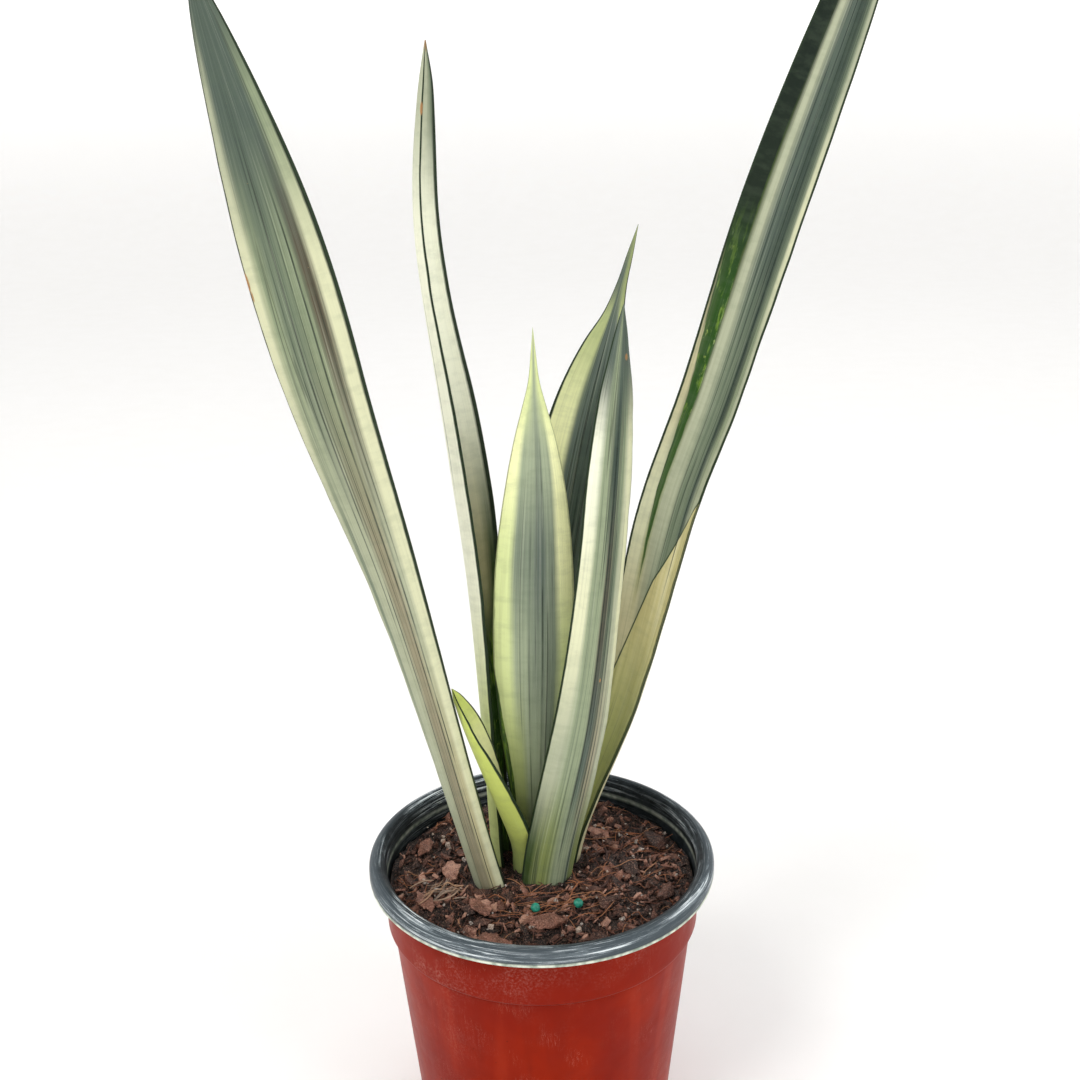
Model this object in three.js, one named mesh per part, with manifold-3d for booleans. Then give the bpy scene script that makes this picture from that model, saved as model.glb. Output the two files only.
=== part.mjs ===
// A variegated snake plant in a round thermoformed nursery pot.
//
// Millimetres, +Z up. The origin is the centre of the pot's flat base, on the surface that it stands on,
// and -Y is the plant's front. The pot is one thin sheet of plastic, drawn down from a rolled rim. Potting
// mix fills it, and holds a short rhizome with its roots. Seven leaves spring from the rhizome: each is a
// channelled blade, thick and folded at its foot, flat and pointed at its tip. Bark chips, perlite,
// fertiliser prills and coir fibres lie on the mix.

import * as THREE from "three";
import { ConvexGeometry } from "three/addons/geometries/ConvexGeometry.js";
import { mergeVertices } from "three/addons/utils/BufferGeometryUtils.js";
import Module from "manifold-3d";

const wasm = await Module();
wasm.setup();

// ---- Driving dimensions ----

const CLEARANCE = 0.3; // between two pieces that touch

const POT_HEIGHT = 95;
const POT_WALL = 0.8;
const RIM_RADIUS = 54; // outside of the rolled rim
const RIM_ROLL = 2.3; // radius of the roll, at the middle of the sheet
const RIM_SKIRT = 2.2; // straight part of the roll that hangs down outside
const BAND_DRAFT = 0.4; // how much the band narrows from the rim down to its foot
const BAND_FOOT = 74; // height of the stacking shoulder
const SHOULDER_HEIGHT = 2;
const SHOULDER_STEP = 1.5; // how far the wall steps in under the band
const BASE_RADIUS = 40; // middle of the sheet above the base's corner
const BASE_CORNER = 3;
const POT_SIDES = 48; // flats around the pot and the mix
const DRAIN_HOLES = 6;
const DRAIN_RADIUS = 4;
const DRAIN_CIRCLE = 29;

const HEADSPACE = 10; // from the rim's top down to the mix at the wall
const MOUND = 1.5; // how much higher the mix stands in the middle

const SHOOT = new THREE.Vector2(-1, 6); // middle of the clump of leaves
const RHIZOME_LENGTH = 46;
const RHIZOME_RADIUS = 12.5;
const RHIZOME_DEPTH = 22; // its middle, below the top of the mix
const RHIZOME_HEADING = 25; // degrees from +X
const ROOTS = 6;
const ROOT_RADIUS = 1.6;
const ROOT_SPREAD = 24; // how far out a root's tip lies from the shoot
const ROOT_TIP_HEIGHT = 9;

const FOOT_DEPTH = 16; // how far under the top of the mix the leaves' feet stand, in the rhizome
const LEAF_RINGS = 24;
const LEAF_ACROSS = 6; // steps from margin to margin
const FOOT_THICKNESS = 2.8;
const BLADE_THICKNESS = 2.2;
const TIP_THICKNESS = 0.9;

const CHIPS = 16;
const CHIP_RINGS = [28, 40]; // distances from the pot's axis, taken in turn
const CHIP_LENGTH = [8, 12];
const CHIP_THICKNESS = [1.5, 3];
const GRAINS = 8;
const GRAIN_RING = 34;
const GRAIN_LENGTH = [1.6, 2.5];
const PRILL_RADIUS = 1.5;
const FIBRE_RADIUS = 0.35;

// A leaf's spine runs from its foot through points whose heights are above the mix. widths are blade
// widths, each at a share of the spine. Two values are for foot and tip: face, the heading of the inner
// face in degrees from +X, and fold, how far the section turns from margin to margin.
const LEAVES = [
  {
    name: "leaf_left_tall",
    spine: [
      [-12, -5], [-16.8, -6, 1], [-39.3, -15, 101], [-54.8, -21, 160], [-66, -26, 213],
      [-79, -31, 269],
    ],
    widths: [
      [0, 10.5], [0.2, 12], [0.4, 16], [0.5, 19.6], [0.6, 23], [0.7, 24.6], [0.8, 21.3],
      [0.9, 13.2], [0.96, 6.4], [1, 0.6],
    ],
    face: [70, 84], fold: [150, 30],
  },
  {
    name: "leaf_back_narrow",
    spine: [[-11.5, 8], [-13, 9, 1], [-18, 14, 102], [-22.5, 19, 138], [-31, 26, 200], [-28.5, 30, 250]],
    widths: [
      [0, 12], [0.2, 13.5], [0.35, 19], [0.5, 25], [0.6, 23.5], [0.7, 18.5], [0.8, 16],
      [0.88, 13.8], [0.94, 9.5], [1, 2.5],
    ],
    face: [-15, -20], fold: [150, 140],
  },
  {
    name: "leaf_centre",
    spine: [[-2, 7], [-2, 7, 5], [-1, 5, 90], [0, 3, 130], [0, 0, 175]],
    widths: [
      [0, 11.5], [0.15, 13], [0.25, 17], [0.35, 21.8], [0.45, 24.8], [0.55, 24.6], [0.65, 22.4],
      [0.75, 17.6], [0.82, 12.5], [0.88, 6.6], [0.92, 2.9], [1, 0.5],
    ],
    face: [92, 92], fold: [80, 30],
  },
  {
    name: "leaf_front_right",
    spine: [[1.6, -3.2], [2.6, -4.2, 2], [13.6, -4.5, 58], [19, -3, 101], [22.3, -1, 140], [25, 0, 181]],
    widths: [
      [0, 17.5], [0.15, 19.5], [0.3, 20], [0.5, 17.6], [0.65, 16.4], [0.75, 16], [0.82, 14],
      [0.88, 11.2], [0.94, 6], [1, 1],
    ],
    face: [112, 124], fold: [110, 50],
  },
  {
    name: "leaf_back",
    spine: [[-2, 16], [-2, 17, 7], [8.5, 23.5, 99], [15, 25, 136], [24, 28, 173], [31, 29, 199]],
    widths: [
      [0, 12], [0.2, 16], [0.4, 22], [0.55, 25.4], [0.65, 26], [0.73, 23.6], [0.8, 17.6],
      [0.85, 10.8], [0.885, 5], [0.92, 2.9], [1, 0.8],
    ],
    face: [-95, -110], fold: [80, 30],
  },
  {
    name: "leaf_sheath",
    spine: [[-5.8, 1.6], [-6.2, 1.6, 1], [-6.6, 1.1, 10], [-14, -4.3, 37], [-25.5, -9, 70]],
    widths: [[0, 8], [0.25, 11.5], [0.45, 18.5], [0.65, 20.5], [0.85, 13.5], [1, 1.5]],
    face: [50, -10], fold: [120, 125],
  },
  {
    name: "leaf_right_tall",
    spine: [
      [7.5, 9.5], [10, 11, 7], [26, 11, 56], [41, 9, 121], [51, 7, 152], [67.3, 3, 209],
      [101, -5, 313],
    ],
    widths: [
      [0, 13], [0.15, 16], [0.28, 21.5], [0.37, 24], [0.45, 22.8], [0.55, 22.8], [0.65, 23],
      [0.74, 20.8], [0.82, 17], [0.9, 10.8], [0.96, 5], [1, 0.5],
    ],
    face: [-150, -125], fold: [130, 70],
  },
];

const PRILLS = [[-2, -22], [11, -20], [-14, 17]];
const FIBRES = [
  [[-6, -17], [3, -15], [12, -16]],
  [[14, -12], [19, -10], [22, -2]],
  [[-24, -9], [-21, -14], [-13, -17]],
  [[20, 2], [21, 10], [18, 17]],
];

// ---- Materials ----

const material = (color, roughness) => new THREE.MeshStandardMaterial({ color, roughness, metalness: 0 });
const terracottaPlastic = material(0x9c3020, 0.35);
const mixBrown = material(0x3f2319, 0.95);
const barkBrown = material(0x6b3a2a, 0.85);
const perliteWhite = material(0xd8d2c8, 0.9);
const prillGreen = material(0x1f7a62, 0.5);
const fibreTan = material(0x9a6a45, 0.8);
const leafGreen = material(0x8da08a, 0.45);
const rhizomeCream = material(0xc9b98a, 0.7);

// ---- Helpers ----

const MIX_TOP = POT_HEIGHT - HEADSPACE;
const lerp = THREE.MathUtils.lerp;
const radians = THREE.MathUtils.degToRad;

// Repeatable numbers from 0 to 1.
function randomFrom(seed) {
  let state = seed;
  return () => {
    state = (state * 1664525 + 1013904223) % 4294967296;
    return state / 4294967296;
  };
}

function solidOf(geometry) {
  const bare = new THREE.BufferGeometry();
  bare.setAttribute("position", geometry.getAttribute("position"));
  bare.setIndex(geometry.index);
  const merged = mergeVertices(bare, 1e-3);
  return new wasm.Manifold(
    new wasm.Mesh({
      numProp: 3,
      vertProperties: merged.attributes.position.array,
      triVerts: new Uint32Array(merged.index.array),
    }),
  );
}

function geometryOf(solid) {
  const mesh = solid.getMesh();
  const geometry = new THREE.BufferGeometry();
  geometry.setAttribute("position", new THREE.BufferAttribute(mesh.vertProperties, 3));
  geometry.setIndex(new THREE.BufferAttribute(mesh.triVerts, 1));
  return geometry;
}

// A profile of radius and height, turned about the vertical axis.
function turned(profile, sides) {
  return new THREE.LatheGeometry(profile, sides).rotateX(Math.PI / 2);
}

// A closed skin through rings of equal, even length. Each ring is a front and a mirrored back that share
// their two end points, so an end closes flat with one strip from front to back, or runs to a point.
function loft(rings, tip) {
  const count = rings[0].length;
  const points = rings.flat();
  const index = [];
  const at = (ring, k) => ring * count + (k % count);
  const face = (...corners) => {
    if (new Set(corners).size === 3) index.push(...corners);
  };
  for (let ring = 0; ring + 1 < rings.length; ring++) {
    for (let k = 0; k < count; k++) {
      face(at(ring, k), at(ring, k + 1), at(ring + 1, k + 1));
      face(at(ring, k), at(ring + 1, k + 1), at(ring + 1, k));
    }
  }
  const last = rings.length - 1;
  for (let k = 0; k < count / 2; k++) {
    face(at(0, k + 1), at(0, k), at(0, count - k));
    face(at(0, k + 1), at(0, count - k), at(0, count - k - 1));
    if (!tip) {
      face(at(last, k), at(last, k + 1), at(last, count - k));
      face(at(last, k + 1), at(last, count - k - 1), at(last, count - k));
    }
  }
  if (tip) {
    points.push(tip);
    for (let k = 0; k < count; k++) face(at(last, k), at(last, k + 1), points.length - 1);
  }
  const geometry = new THREE.BufferGeometry().setFromPoints(points);
  geometry.setIndex(index);
  return geometry;
}

// ---- Pot ----

// The middle of the sheet, from the base's centre out, up the wall and over the rim.
function sheetLine() {
  const low = POT_WALL / 2;
  const wallTop = BAND_FOOT - SHOULDER_HEIGHT;
  const rollCentre = RIM_RADIUS - POT_WALL / 2 - RIM_ROLL;
  const rollHeight = POT_HEIGHT - POT_WALL / 2 - RIM_ROLL;
  const bandRadius = rollCentre - RIM_ROLL - BAND_DRAFT;
  const line = new THREE.Path();
  line.moveTo(0, low);
  line.lineTo(BASE_RADIUS - BASE_CORNER, low);
  line.absarc(BASE_RADIUS - BASE_CORNER, low + BASE_CORNER, BASE_CORNER, -Math.PI / 2, 0);
  line.lineTo(bandRadius - SHOULDER_STEP, wallTop);
  line.lineTo(bandRadius, BAND_FOOT);
  line.lineTo(rollCentre - RIM_ROLL, rollHeight);
  line.absarc(rollCentre, rollHeight, RIM_ROLL, Math.PI, 0, true);
  line.lineTo(rollCentre + RIM_ROLL, rollHeight - RIM_SKIRT);
  return line.getPoints(3).filter((p, i, all) => !i || p.distanceTo(all[i - 1]) > 1e-6);
}

// The same line moved sideways: to its left, which is the pot's inside, when distance is positive.
function offsetLine(line, distance) {
  const steps = line.slice(1).map((point, i) => point.clone().sub(line[i]).normalize());
  return line.map((point, i) => {
    const into = steps[Math.max(i - 1, 0)];
    const out = steps[Math.min(i, steps.length - 1)];
    const along = into.clone().add(out).normalize();
    const mitre = distance / along.dot(out);
    return new THREE.Vector2(point.x - along.y * mitre, point.y + along.x * mitre);
  });
}

const SHEET = sheetLine();
const onAxis = (points) => points.map((p, i) => (i ? p : new THREE.Vector2(0, p.y)));

function potGeometry() {
  const outside = onAxis(offsetLine(SHEET, -POT_WALL / 2));
  const inside = onAxis(offsetLine(SHEET, POT_WALL / 2));
  let pot = solidOf(turned([...outside, ...inside.reverse()], POT_SIDES));
  for (let i = 0; i < DRAIN_HOLES; i++) {
    const turn = (2 * Math.PI * (i + 0.5)) / DRAIN_HOLES;
    const hole = new THREE.CylinderGeometry(DRAIN_RADIUS, DRAIN_RADIUS, 4 * POT_WALL, 12);
    hole.rotateX(Math.PI / 2);
    hole.translate(DRAIN_CIRCLE * Math.cos(turn), DRAIN_CIRCLE * Math.sin(turn), 0);
    pot = pot.subtract(solidOf(hole));
  }
  return geometryOf(pot);
}

// ---- Leaves ----

// Blade width at a share of the way up, smooth through the leaf's widths.
function bladeWidth(leaf, share) {
  const shares = leaf.widths.map(([at]) => at);
  const values = leaf.widths.map(([, width]) => width);
  return new THREE.CubicInterpolant(shares, values, 1).evaluate(share)[0];
}

function bladeThickness(share) {
  const swell = (1 - share) ** 3;
  return lerp(lerp(BLADE_THICKNESS, TIP_THICKNESS, share), FOOT_THICKNESS, swell);
}

// The blade with grow added on every side, so that what a leaf stands in is cut by a larger copy.
function leafGeometry(leaf, grow = 0) {
  const [foot, ...rest] = leaf.spine;
  const spine = new THREE.CatmullRomCurve3(
    [[...foot, -FOOT_DEPTH], ...rest].map(([x, y, up]) => new THREE.Vector3(x, y, MIX_TOP + up)),
  );
  const rings = [];
  for (let i = 0; i < LEAF_RINGS; i++) {
    const share = i / LEAF_RINGS;
    const centre = spine.getPointAt(share);
    const tangent = spine.getTangentAt(share);
    if (i === 0) centre.addScaledVector(tangent, -grow);
    const heading = radians(lerp(leaf.face[0], leaf.face[1], share));
    const normal = new THREE.Vector3(Math.cos(heading), Math.sin(heading), 0);
    normal.addScaledVector(tangent, -normal.dot(tangent)).normalize();
    const side = new THREE.Vector3().crossVectors(normal, tangent);
    const width = bladeWidth(leaf, share);
    const turn = radians(lerp(leaf.fold[0], leaf.fold[1], Math.sqrt(share)));
    const thickness = Math.min(bladeThickness(share), 0.3 * width);
    rings.push(bladeSection(centre, side, normal, width, turn, thickness, grow));
  }
  return loft(rings, spine.getPointAt(1));
}

// One ring: along the inner face from one margin to the other, and back along the outer face.
function bladeSection(centre, side, normal, width, turn, thickness, grow) {
  const radius = width / turn;
  const halfTurn = (turn / 2) * (1 + (4 * grow) / width);
  const middle = radius * (1 - Math.cos(turn / 2)) * 0.4;
  const point = (across, face) => {
    const angle = across * halfTurn;
    const bulge = Math.abs(across) < 1 ? (thickness / 2) * Math.sqrt(1 - across ** 2) + grow : 0;
    const half = face * bulge;
    const reach = (radius - half) * Math.sin(angle);
    const rise = radius - (radius - half) * Math.cos(angle) - middle;
    return centre.clone().addScaledVector(side, reach).addScaledVector(normal, rise);
  };
  const ring = [];
  for (let k = 0; k < LEAF_ACROSS; k++) ring.push(point(1 - (2 * k) / LEAF_ACROSS, 1));
  for (let k = 0; k < LEAF_ACROSS; k++) ring.push(point(-1 + (2 * k) / LEAF_ACROSS, -1));
  return ring;
}

// ---- Rhizome and roots ----

function tube(curve, steps, sides, radiusAt, grow) {
  const rings = [];
  const frames = curve.computeFrenetFrames(steps, false);
  for (let i = 0; i <= steps; i++) {
    const centre = curve.getPointAt(i / steps);
    if (i === 0) centre.addScaledVector(frames.tangents[0], -grow);
    if (i === steps) centre.addScaledVector(frames.tangents[steps], grow);
    const radius = radiusAt(i / steps) + grow;
    const ring = [];
    for (let k = 0; k < sides; k++) {
      const turn = (2 * Math.PI * k) / sides;
      const spoke = frames.normals[i].clone().multiplyScalar(Math.cos(turn));
      spoke.addScaledVector(frames.binormals[i], Math.sin(turn));
      ring.push(centre.clone().addScaledVector(spoke, radius));
    }
    rings.push(ring);
  }
  return loft(rings);
}

// A blunt stub, swollen where each leaf springs from it.
function rhizomeGeometry(grow = 0) {
  const heading = radians(RHIZOME_HEADING);
  const reach = new THREE.Vector3(Math.cos(heading), Math.sin(heading), 0);
  reach.multiplyScalar(RHIZOME_LENGTH / 2);
  const centre = new THREE.Vector3(SHOOT.x, SHOOT.y, MIX_TOP - RHIZOME_DEPTH);
  const curve = new THREE.LineCurve3(centre.clone().sub(reach), centre.clone().add(reach));
  const radiusAt = (share) => {
    const bulge = Math.sqrt(Math.max(0, 1 - (2 * share - 1) ** 2));
    return RHIZOME_RADIUS * (0.25 + 0.75 * bulge);
  };
  return tube(curve, 10, 14, radiusAt, grow);
}

function rootGeometry(number, grow = 0) {
  const turn = (2 * Math.PI * (number + 0.3)) / ROOTS;
  const spoke = new THREE.Vector3(Math.cos(turn), Math.sin(turn), 0);
  const across = new THREE.Vector3(-spoke.y, spoke.x, 0);
  const start = new THREE.Vector3(SHOOT.x, SHOOT.y, MIX_TOP - RHIZOME_DEPTH - 0.6 * RHIZOME_RADIUS);
  const length = start.z - ROOT_TIP_HEIGHT;
  const point = (out, sway, down) =>
    start
      .clone()
      .addScaledVector(spoke, out * ROOT_SPREAD)
      .addScaledVector(across, sway * ROOT_SPREAD)
      .add(new THREE.Vector3(0, 0, -down * length));
  const curve = new THREE.CatmullRomCurve3([
    point(0.22, 0, 0),
    point(0.5, 0.08, 0.25),
    point(0.72, -0.06, 0.6),
    point(1, 0.05, 1),
  ]);
  return tube(curve, 8, 6, (share) => ROOT_RADIUS * (1 - 0.55 * share), grow);
}

// ---- Potting mix ----

// Height of the mix's crowned top above the base.
function mixHeight(x, y) {
  const away = Math.hypot(x, y) / RIM_RADIUS;
  return MIX_TOP + MOUND * Math.max(0, 1 - away ** 2);
}

function mixBlock() {
  const inset = POT_WALL / 2 + CLEARANCE;
  const inside = onAxis(offsetLine(SHEET, inset));
  const above = inside.findIndex((p) => p.y >= MIX_TOP);
  const [low, high] = [inside[above - 1], inside[above]];
  const topRadius = lerp(low.x, high.x, (MIX_TOP - low.y) / (high.y - low.y));
  const wall = inside.slice(0, above);
  const mound = [1, 0.8, 0.6, 0.4, 0.2, 0].map((share) => {
    return new THREE.Vector2(topRadius * share, mixHeight(topRadius * share, 0));
  });
  return solidOf(turned([...wall, ...mound], POT_SIDES));
}

// ---- What lies on the mix ----

// A broken lump: the hull of points near an ellipsoid's surface, its lowest point at height zero.
function lumpGeometry(random, length, width, thickness) {
  const points = [];
  for (let i = 0; i < 14; i++) {
    const turn = 2 * Math.PI * random();
    const up = 2 * random() - 1;
    const reach = Math.sqrt(1 - up * up) ** 0.4 / 2;
    const rise = (thickness * (1 + Math.sign(up) * Math.sqrt(Math.abs(up)))) / 2;
    points.push(new THREE.Vector3(length * reach * Math.cos(turn), width * reach * Math.sin(turn), rise));
  }
  const geometry = new ConvexGeometry(points);
  geometry.computeBoundingBox();
  return geometry.translate(0, 0, -geometry.boundingBox.min.z);
}

// Stands a lump at a place on the mix, clear of the highest mix under it.
function layOnMix(geometry, x, y, heading, length) {
  const inward = 1 - Math.min(1, length / 2 / Math.hypot(x, y));
  const height = mixHeight(x * inward, y * inward) + CLEARANCE;
  return geometry.rotateZ(heading).translate(x, y, height);
}

function chipGeometry(number) {
  const random = randomFrom(40 + number);
  const turn = (2 * Math.PI * (number + 0.4 * random())) / CHIPS;
  const ring = CHIP_RINGS[number % CHIP_RINGS.length];
  const length = lerp(...CHIP_LENGTH, random());
  const width = length * lerp(0.5, 0.7, random());
  const lump = lumpGeometry(random, length, width, lerp(...CHIP_THICKNESS, random()));
  const heading = turn + Math.PI / 2 + 0.6 * (random() - 0.5);
  return layOnMix(lump, ring * Math.cos(turn), ring * Math.sin(turn), heading, length);
}

function grainGeometry(number) {
  const random = randomFrom(90 + number);
  const turn = (2 * Math.PI * (number + 0.3 + 0.4 * random())) / GRAINS;
  const length = lerp(...GRAIN_LENGTH, random());
  const lump = lumpGeometry(random, length, 0.8 * length, 0.8 * length);
  return layOnMix(lump, GRAIN_RING * Math.cos(turn), GRAIN_RING * Math.sin(turn), turn, length);
}

function fibreGeometry(points) {
  const curve = new THREE.CatmullRomCurve3(
    points.map(([x, y]) => new THREE.Vector3(x, y, mixHeight(x, y) + 2 * CLEARANCE + FIBRE_RADIUS)),
  );
  return tube(curve, 10, 6, () => FIBRE_RADIUS, 0);
}

// ---- Assembly ----

const plant = new THREE.Group();
function add(name, geometry, finish) {
  const mesh = new THREE.Mesh(geometry, finish);
  mesh.name = name;
  plant.add(mesh);
  return mesh;
}

const grownLeaves = LEAVES.map((leaf) => solidOf(leafGeometry(leaf, CLEARANCE)));
const rootNumbers = Array.from({ length: ROOTS }, (_, i) => i);
const grownRoots = rootNumbers.map((i) => solidOf(rootGeometry(i, CLEARANCE)));
const cutBy = (solid, cutters) => cutters.reduce((left, cutter) => left.subtract(cutter), solid);

add("pot", potGeometry(), terracottaPlastic);
const buried = [...grownLeaves, ...grownRoots, solidOf(rhizomeGeometry(CLEARANCE))];
add("potting_mix", geometryOf(cutBy(mixBlock(), buried)), mixBrown);
const rhizome = cutBy(solidOf(rhizomeGeometry()), [...grownLeaves, ...grownRoots]);
add("rhizome", geometryOf(rhizome), rhizomeCream);
rootNumbers.forEach((i) => add(`root_${i + 1}`, rootGeometry(i), rhizomeCream));
LEAVES.forEach((leaf) => add(leaf.name, leafGeometry(leaf), leafGreen));

for (let i = 0; i < CHIPS; i++) add(`bark_chip_${i + 1}`, chipGeometry(i), barkBrown);
for (let i = 0; i < GRAINS; i++) add(`perlite_grain_${i + 1}`, grainGeometry(i), perliteWhite);
PRILLS.forEach(([x, y], i) => {
  const prill = new THREE.IcosahedronGeometry(PRILL_RADIUS, 1).translate(0, 0, PRILL_RADIUS);
  add(`fertiliser_prill_${i + 1}`, layOnMix(prill, x, y, 0, 2 * PRILL_RADIUS), prillGreen);
});
FIBRES.forEach((points, i) => add(`coir_fibre_${i + 1}`, fibreGeometry(points), fibreTan));

export default plant;
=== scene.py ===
import math
import random

import bmesh
import bpy
import numpy as np
from mathutils import Matrix, Vector, noise


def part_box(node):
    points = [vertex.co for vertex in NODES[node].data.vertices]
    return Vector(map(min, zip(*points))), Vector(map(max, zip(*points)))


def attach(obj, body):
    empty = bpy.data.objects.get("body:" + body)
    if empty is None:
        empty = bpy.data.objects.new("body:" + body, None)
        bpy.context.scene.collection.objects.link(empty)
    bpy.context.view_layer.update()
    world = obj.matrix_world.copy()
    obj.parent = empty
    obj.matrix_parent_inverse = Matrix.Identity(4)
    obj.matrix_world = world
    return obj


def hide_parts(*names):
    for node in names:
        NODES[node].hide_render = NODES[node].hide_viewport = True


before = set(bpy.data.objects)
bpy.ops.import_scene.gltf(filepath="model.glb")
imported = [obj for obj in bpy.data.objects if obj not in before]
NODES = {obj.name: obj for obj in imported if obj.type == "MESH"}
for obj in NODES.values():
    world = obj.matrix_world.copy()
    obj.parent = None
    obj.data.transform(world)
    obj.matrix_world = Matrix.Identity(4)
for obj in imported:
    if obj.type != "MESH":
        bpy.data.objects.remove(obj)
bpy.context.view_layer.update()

MM = 0.001


# ---------------------------------------------------------------- helpers

def rgb(hex_colour):
    """A display colour as linear RGBA."""
    values = [int(hex_colour[i:i + 2], 16) / 255 for i in (0, 2, 4)]
    linear = [v / 12.92 if v <= 0.04045 else ((v + 0.055) / 1.055) ** 2.4 for v in values]
    return (*linear, 1.0)


def leaf_rgb(hex_colour, gain):
    """A leaf colour, deepened, then lightened and softened by the gain."""
    deep = [1.09 * gain * value ** 1.27 for value in rgb(hex_colour)[:3]]
    middle, soft = sum(deep) / 3, 0.5 * (gain - 1)
    return (*(min(0.93, value + soft * (middle - value)) for value in deep), 1.0)


def new_object(name, vertices, faces, material=None, smooth=True):
    mesh = bpy.data.meshes.new(name)
    mesh.from_pydata([tuple(v) for v in vertices], [], [tuple(int(i) for i in f) for f in faces])
    mesh.update()
    piece = bpy.data.objects.new(name, mesh)
    bpy.context.scene.collection.objects.link(piece)
    if material:
        mesh.materials.append(material)
    mesh.polygons.foreach_set("use_smooth", [smooth] * len(mesh.polygons))
    return piece


def set_attribute(piece, name, values):
    layer = piece.data.attributes.new(name, "FLOAT", "POINT")
    layer.data.foreach_set("value", np.asarray(values, dtype=np.float32))


def stand(piece, slot, *nodes):
    """The piece rides with the plant and stands for those CAD nodes, which it hides. The slot is not used."""
    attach(piece, "root")
    if nodes:
        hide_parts(*nodes)
    return piece


class Shader:
    """A principled material and short names for the nodes that feed it."""

    def __init__(self, name, roughness=0.5, **sockets):
        self.material = bpy.data.materials.new(name)
        self.material.use_nodes = True
        self.tree = self.material.node_tree
        self.tree.nodes.clear()
        self.output = self.node("ShaderNodeOutputMaterial")
        self.surface = self.node("ShaderNodeBsdfPrincipled")
        self.tree.links.new(self.surface.outputs[0], self.output.inputs[0])
        self.surface.inputs["Roughness"].default_value = roughness
        for key, value in sockets.items():
            self.surface.inputs[key.replace("_", " ")].default_value = value

    def node(self, kind, **settings):
        made = self.tree.nodes.new(kind)
        for key, value in settings.items():
            setattr(made, key, value)
        return made

    def feed(self, socket, value):
        if isinstance(value, bpy.types.NodeSocket):
            self.tree.links.new(value, socket)
        else:
            socket.default_value = value

    def attribute(self, name):
        return self.node("ShaderNodeAttribute", attribute_name=name).outputs["Fac"]

    def math(self, operation, a, b=0.0, c=None, clamp=False):
        made = self.node("ShaderNodeMath", operation=operation, use_clamp=clamp)
        self.feed(made.inputs[0], a)
        self.feed(made.inputs[1], b)
        if c is not None:
            self.feed(made.inputs[2], c)
        return made.outputs[0]

    def times(self, first, *others):
        """The product of all of these."""
        for other in others:
            first = self.math("MULTIPLY", first, other)
        return first

    def plus(self, a, b, clamp=False):
        return self.math("ADD", a, b, clamp=clamp)

    def less(self, a, b):
        return self.math("SUBTRACT", a, b)

    def scaled(self, value, factor, start, clamp=False):
        """value * factor + start."""
        return self.math("MULTIPLY_ADD", value, factor, start, clamp)

    def apart(self, a, b):
        """The distance between two numbers."""
        return self.math("ABSOLUTE", self.math("SUBTRACT", a, b))

    def combine(self, x=0.0, y=0.0, z=0.0):
        made = self.node("ShaderNodeCombineXYZ")
        for socket, value in zip(made.inputs, (x, y, z)):
            self.feed(socket, value)
        return made.outputs[0]

    def position(self, scale=1.0):
        place = self.node("ShaderNodeTexCoord").outputs["Object"]
        if scale == 1.0:
            return place
        made = self.node("ShaderNodeVectorMath", operation="SCALE")
        self.feed(made.inputs[0], place)
        made.inputs["Scale"].default_value = scale
        return made.outputs[0]

    def flat_position(self, scale):
        """Distances from the upright axis, as a vector without height."""
        made = self.node("ShaderNodeVectorMath", operation="MULTIPLY")
        self.feed(made.inputs[0], self.position(scale))
        made.inputs[1].default_value = (1, 1, 0)
        return made.outputs[0]

    def noise(self, vector, scale=1.0, detail=2.0, roughness=0.5, distortion=0.0):
        made = self.node("ShaderNodeTexNoise")
        self.feed(made.inputs["Vector"], vector)
        made.inputs["Scale"].default_value = scale
        made.inputs["Detail"].default_value = detail
        made.inputs["Roughness"].default_value = roughness
        made.inputs["Distortion"].default_value = distortion
        return made.outputs["Fac"]

    def step(self, value, low, high, to_low=0.0, to_high=1.0):
        """A smooth step of value from low to high."""
        made = self.node("ShaderNodeMapRange", interpolation_type="SMOOTHSTEP")
        for socket, number in zip(made.inputs, (value, low, high, to_low, to_high)):
            self.feed(socket, number)
        return made.outputs[0]

    def slide(self, value, low, high, to_low, to_high):
        made = self.node("ShaderNodeMapRange", clamp=True)
        for socket, number in zip(made.inputs, (value, low, high, to_low, to_high)):
            self.feed(socket, number)
        return made.outputs[0]

    def mix(self, factor, a, b):
        made = self.node("ShaderNodeMix", data_type="RGBA")
        self.feed(made.inputs[0], factor)
        self.feed(made.inputs[6], a)
        self.feed(made.inputs[7], b)
        return made.outputs[2]

    def ramp(self, value, stops, tone=rgb):
        made = self.node("ShaderNodeValToRGB")
        elements = made.color_ramp.elements
        for i, (place, colour) in enumerate(stops):
            element = elements[i] if i < 2 else elements.new(place)
            element.position = place
            element.color = tone(colour)
        self.feed(made.inputs[0], value)
        return made.outputs["Color"]

    def bump(self, height, distance, strength=1.0):
        made = self.node("ShaderNodeBump")
        self.feed(made.inputs["Height"], height)
        made.inputs["Distance"].default_value = distance
        made.inputs["Strength"].default_value = strength
        self.feed(self.surface.inputs["Normal"], made.outputs[0])

    def colour(self, value):
        self.feed(self.surface.inputs["Base Color"], value)

    def rough(self, value):
        self.feed(self.surface.inputs["Roughness"], value)


# ---------------------------------------------------------------- leaves: shape

def welded(node):
    """Corner positions and neighbour sets of a CAD node, its doubled corners joined."""
    mesh = NODES[node].data
    points = np.array([v.co for v in mesh.vertices], float)
    _, first, same = np.unique(np.round(points, 5), axis=0, return_index=True, return_inverse=True)
    same = same.ravel()
    near = [set() for _ in first]
    for polygon in mesh.polygons:
        corners = [same[i] for i in polygon.vertices]
        for a, b in zip(corners, corners[1:] + corners[:1]):
            if a != b:
                near[a].add(b)
                near[b].add(a)
    return points[first], near


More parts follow.
